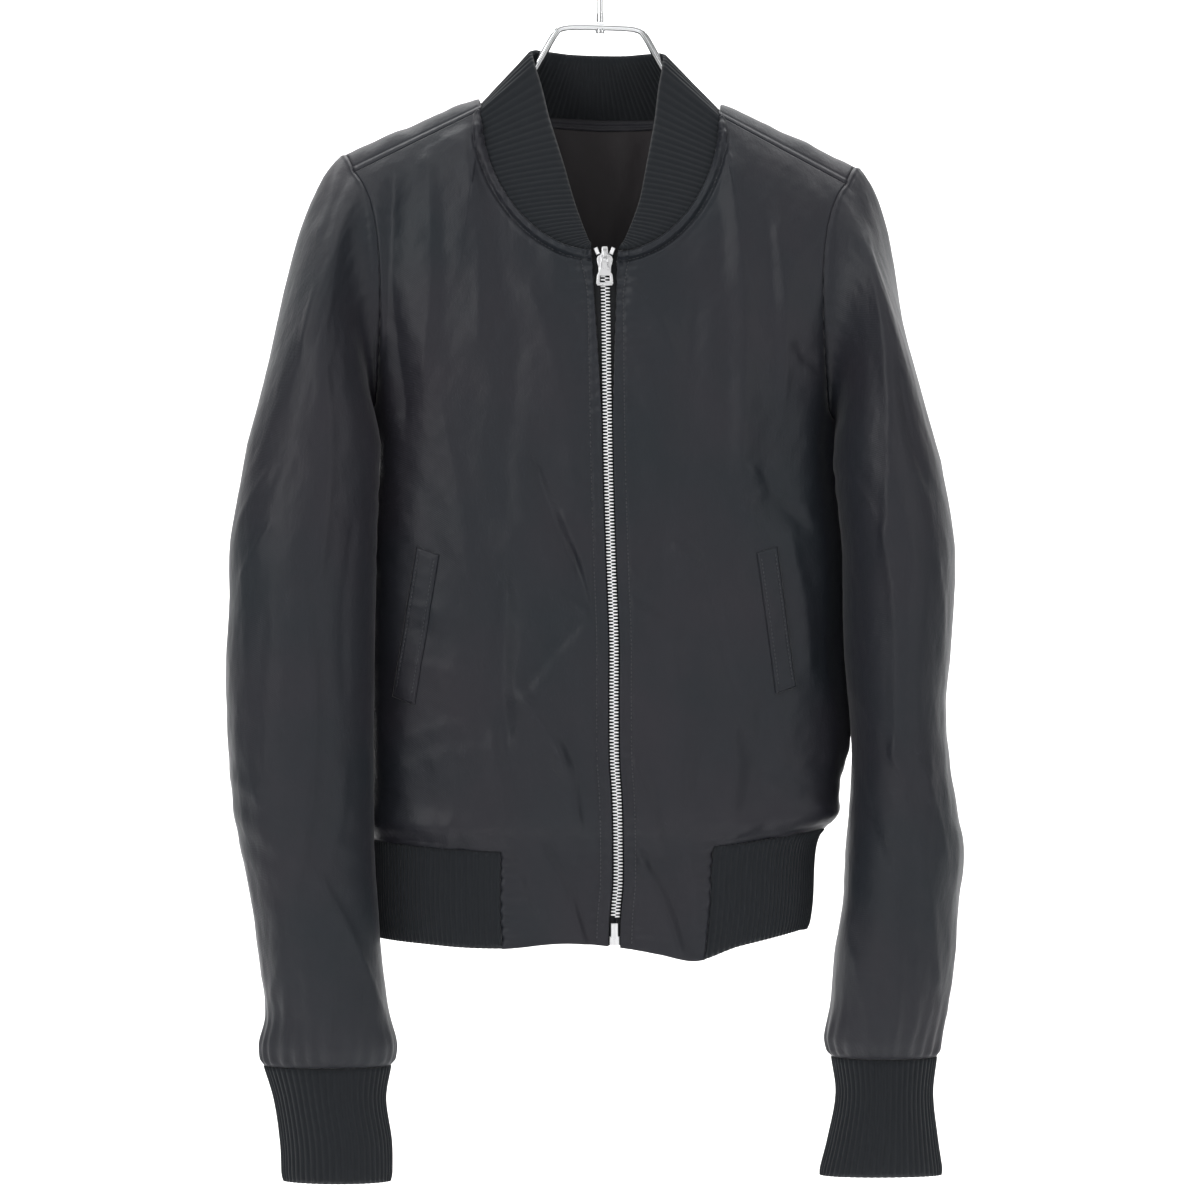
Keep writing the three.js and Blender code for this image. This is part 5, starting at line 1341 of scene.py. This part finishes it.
def rod(bm, points, radius, count):
    """A round bar through points, swept as a welded grid with rounded ends."""
    path = leaning(smooth_path([(x, 0, z) for x, z in points], count))
    along = np.gradient(path, axis=0)
    along /= np.linalg.norm(along, axis=1, keepdims=True)
    side = np.cross(along, np.array([0, 1.0, 0]))
    part = bmesh.new()
    bmesh.ops.create_grid(part, x_segments=20, y_segments=count - 1, size=0.5)
    for vert in part.verts:
        turn = (vert.co.x + 0.5) * 2 * math.pi
        k = min(count - 1, max(0, round((vert.co.y + 0.5) * (count - 1))))
        ends = min(k, count - 1 - k)
        round_end = math.sqrt(max(0.0, 1 - max(0.0, 1 - ends / 3) ** 2))
        p = path[k] + radius * round_end * (side[k] * math.cos(turn) + np.array([0, 1.0, 0]) * math.sin(turn))
        vert.co = Vector(p) * MM
    bmesh.ops.remove_doubles(part, verts=part.verts[:], dist=1e-6)
    bmesh.ops.recalc_face_normals(part, faces=part.faces[:])
    for face in part.faces:
        face.smooth = True
    copy = bpy.data.meshes.new("rod")
    part.to_mesh(copy)
    part.free()
    bm.from_mesh(copy)
    bpy.data.meshes.remove(copy)


def turned(bm, radius, high, low, rounding):
    """A short round piece on the hanger's upright axis."""
    middle = Matrix.Translation((0, 0, (high + low) / 2 * MM))
    wide, tall = radius * MM, (high - low) * MM
    made = bmesh.ops.create_cone(
        bm, cap_ends=True, segments=32, radius1=wide, radius2=wide, depth=tall, matrix=middle
    )
    around = {e for v in made["verts"] for e in v.link_edges}
    rim = [e for e in around if abs(e.verts[0].co.z - e.verts[1].co.z) < 1e-7]
    bmesh.ops.bevel(bm, geom=rim, offset=rounding * MM, segments=3, affect="EDGES", profile=0.5, material=-1)


class JACKET_OT_hanger(bpy.types.Operator):
    """Make the hanger: the shaped bar with its rivet, and the hook with its ferrule"""

    bl_idname = "jacket.hanger"
    bl_label = "Hanger"

    def execute(self, context):
        bm = bmesh.new()
        rod(bm, HANGER_POINTS, 2.75, 260)
        turned(bm, 3.6, -96, -99.6, 0.9)
        object_from(bm, "hanger_bar", "hanger_metal", BODY, ["hanger_frame"], material("hanger_metal"))
        bm = bmesh.new()
        rod(bm, HOOK_POINTS, 2.2, 160)
        turned(bm, 2.9, -84, -91.2, 0.5)
        object_from(bm, "hook_and_ferrule", "hanger_metal", BODY, ["hanger_hook"], material("hanger_metal"))
        return {"FINISHED"}


VIEW_DISTANCE = 2.5
VIEW_HEIGHT = -0.5183
PIXEL = 0.00074
PHOTO_PIXELS = 1200
SENSOR = 36.0


def area_light(name, at, aim, size, power, colour=(1, 1, 1)):
    data = bpy.data.lights.new(name, "AREA")
    data.shape = "RECTANGLE"
    data.size, data.size_y = size
    data.energy = power
    data.color = colour
    lamp = bpy.data.objects.new(name, data)
    lamp.location = at
    lamp.rotation_euler = (Vector(aim) - Vector(at)).to_track_quat("-Z", "Y").to_euler()
    bpy.context.scene.collection.objects.link(lamp)


class JACKET_OT_stage(bpy.types.Operator):
    """Set up the pale floor and backdrop, the soft light and the camera at the photograph's view"""

    bl_idname = "jacket.stage"
    bl_label = "Stage, light and camera"

    def execute(self, context):
        mat, tree, shader = new_material("stage_white")
        shader.inputs["Base Color"].default_value = (0.92, 0.92, 0.92, 1)
        shader.inputs["Roughness"].default_value = 0.9
        bm = bmesh.new()
        bmesh.ops.create_grid(bm, x_segments=1, y_segments=60, size=0.5)
        for vert in bm.verts:
            t = vert.co.y + 0.5
            bend, wide, floor, back, radius = math.pi / 2, 16.0, -1.25, 3.2, 1.2
            run = t * (8.0 + bend * radius + 6.0)
            if run < 8.0:
                y, z = back - radius - (8.0 - run), floor
            elif run < 8.0 + bend * radius:
                turn = (run - 8.0) / radius
                y, z = back - radius + radius * math.sin(turn), floor + radius * (1 - math.cos(turn))
            else:
                y, z = back, floor + radius + (run - 8.0 - bend * radius)
            vert.co = (vert.co.x * wide, y, z)
        for face in bm.faces:
            face.smooth = True
        mesh = bpy.data.meshes.new("backdrop")
        bm.to_mesh(mesh)
        bm.free()
        mesh.materials.append(mat)
        backdrop = bpy.data.objects.new("backdrop", mesh)
        context.scene.collection.objects.link(backdrop)
        middle = (0, 0, VIEW_HEIGHT)
        area_light("key_left", (-1.7, -2.0, 0.55), middle, (1.1, 1.7), 26)
        area_light("fill_right", (1.9, -1.8, 0.2), middle, (1.0, 1.8), 12)
        area_light("front_card", (0.1, -3.0, -0.35), middle, (1.3, 1.3), 6)
        area_light("top", (0, -0.9, 1.5), middle, (2.4, 1.0), 15)
        area_light("backdrop_light", (0, 1.2, 2.1), (0, 3.2, -0.6), (4.5, 0.8), 210)
        world = bpy.data.worlds.new("soft_white")
        world.use_nodes = True
        world.node_tree.nodes["Background"].inputs["Color"].default_value = (1, 1, 1, 1)
        strength = node(world.node_tree, "ShaderNodeMath", operation="MULTIPLY_ADD")
        seen = node(world.node_tree, "ShaderNodeLightPath")
        world.node_tree.links.new(seen.outputs["Is Camera Ray"], strength.inputs[0])
        strength.inputs[1].default_value = 0.68
        strength.inputs[2].default_value = 0.32
        world.node_tree.links.new(strength.outputs["Value"], world.node_tree.nodes["Background"].inputs["Strength"])
        context.scene.world = world
        context.scene.view_settings.view_transform = "Standard"
        data = bpy.data.cameras.new("photo_view")
        data.sensor_width = SENSOR
        data.lens = SENSOR * VIEW_DISTANCE / (PHOTO_PIXELS * PIXEL)
        camera = bpy.data.objects.new("photo_view", data)
        camera.location = (0, -VIEW_DISTANCE, VIEW_HEIGHT)
        camera.rotation_euler = (math.pi / 2, 0, 0)
        context.scene.collection.objects.link(camera)
        context.scene.camera = camera
        return {"FINISHED"}


PIECE_OPERATORS = (
    JACKET_OT_stage,
    JACKET_OT_fronts,
    JACKET_OT_back,
    JACKET_OT_sleeves,
    JACKET_OT_collar,
    JACKET_OT_neck_facing,
    JACKET_OT_cuffs,
    JACKET_OT_hem,
    JACKET_OT_welts,
    JACKET_OT_zip_tapes,
    JACKET_OT_zip_teeth,
    JACKET_OT_slider,
    JACKET_OT_pull,
    JACKET_OT_stitches,
    JACKET_OT_hanger,
)


class JACKET_PT_panel(bpy.types.Panel):
    """Lists the jacket's sizes, colours and pieces"""

    bl_idname = "JACKET_PT_panel"
    bl_label = "Bomber jacket"
    bl_space_type = "VIEW_3D"
    bl_region_type = "UI"
    bl_category = "Jacket"

    def draw(self, context):
        for group in (context.scene.jacket_sizes, context.scene.jacket_looks):
            for name in group.bl_rna.properties.keys():
                if name not in ("rna_type", "name"):
                    self.layout.prop(group, name)
        for piece in PIECE_OPERATORS:
            self.layout.operator(piece.bl_idname)


CLASSES = (JacketLooks, JacketSizes, *PIECE_OPERATORS, JACKET_PT_panel)


def register():
    for cls in CLASSES:
        bpy.utils.register_class(cls)
    bpy.types.Scene.jacket_looks = bpy.props.PointerProperty(type=JacketLooks)
    bpy.types.Scene.jacket_sizes = bpy.props.PointerProperty(type=JacketSizes)


def unregister():
    del bpy.types.Scene.jacket_sizes
    del bpy.types.Scene.jacket_looks
    for cls in reversed(CLASSES):
        bpy.utils.unregister_class(cls)


def main():
    register()
    for piece in PIECE_OPERATORS:
        group, name = piece.bl_idname.split(".")
        getattr(getattr(bpy.ops, group), name)()


if __name__ == "__main__":
    main()
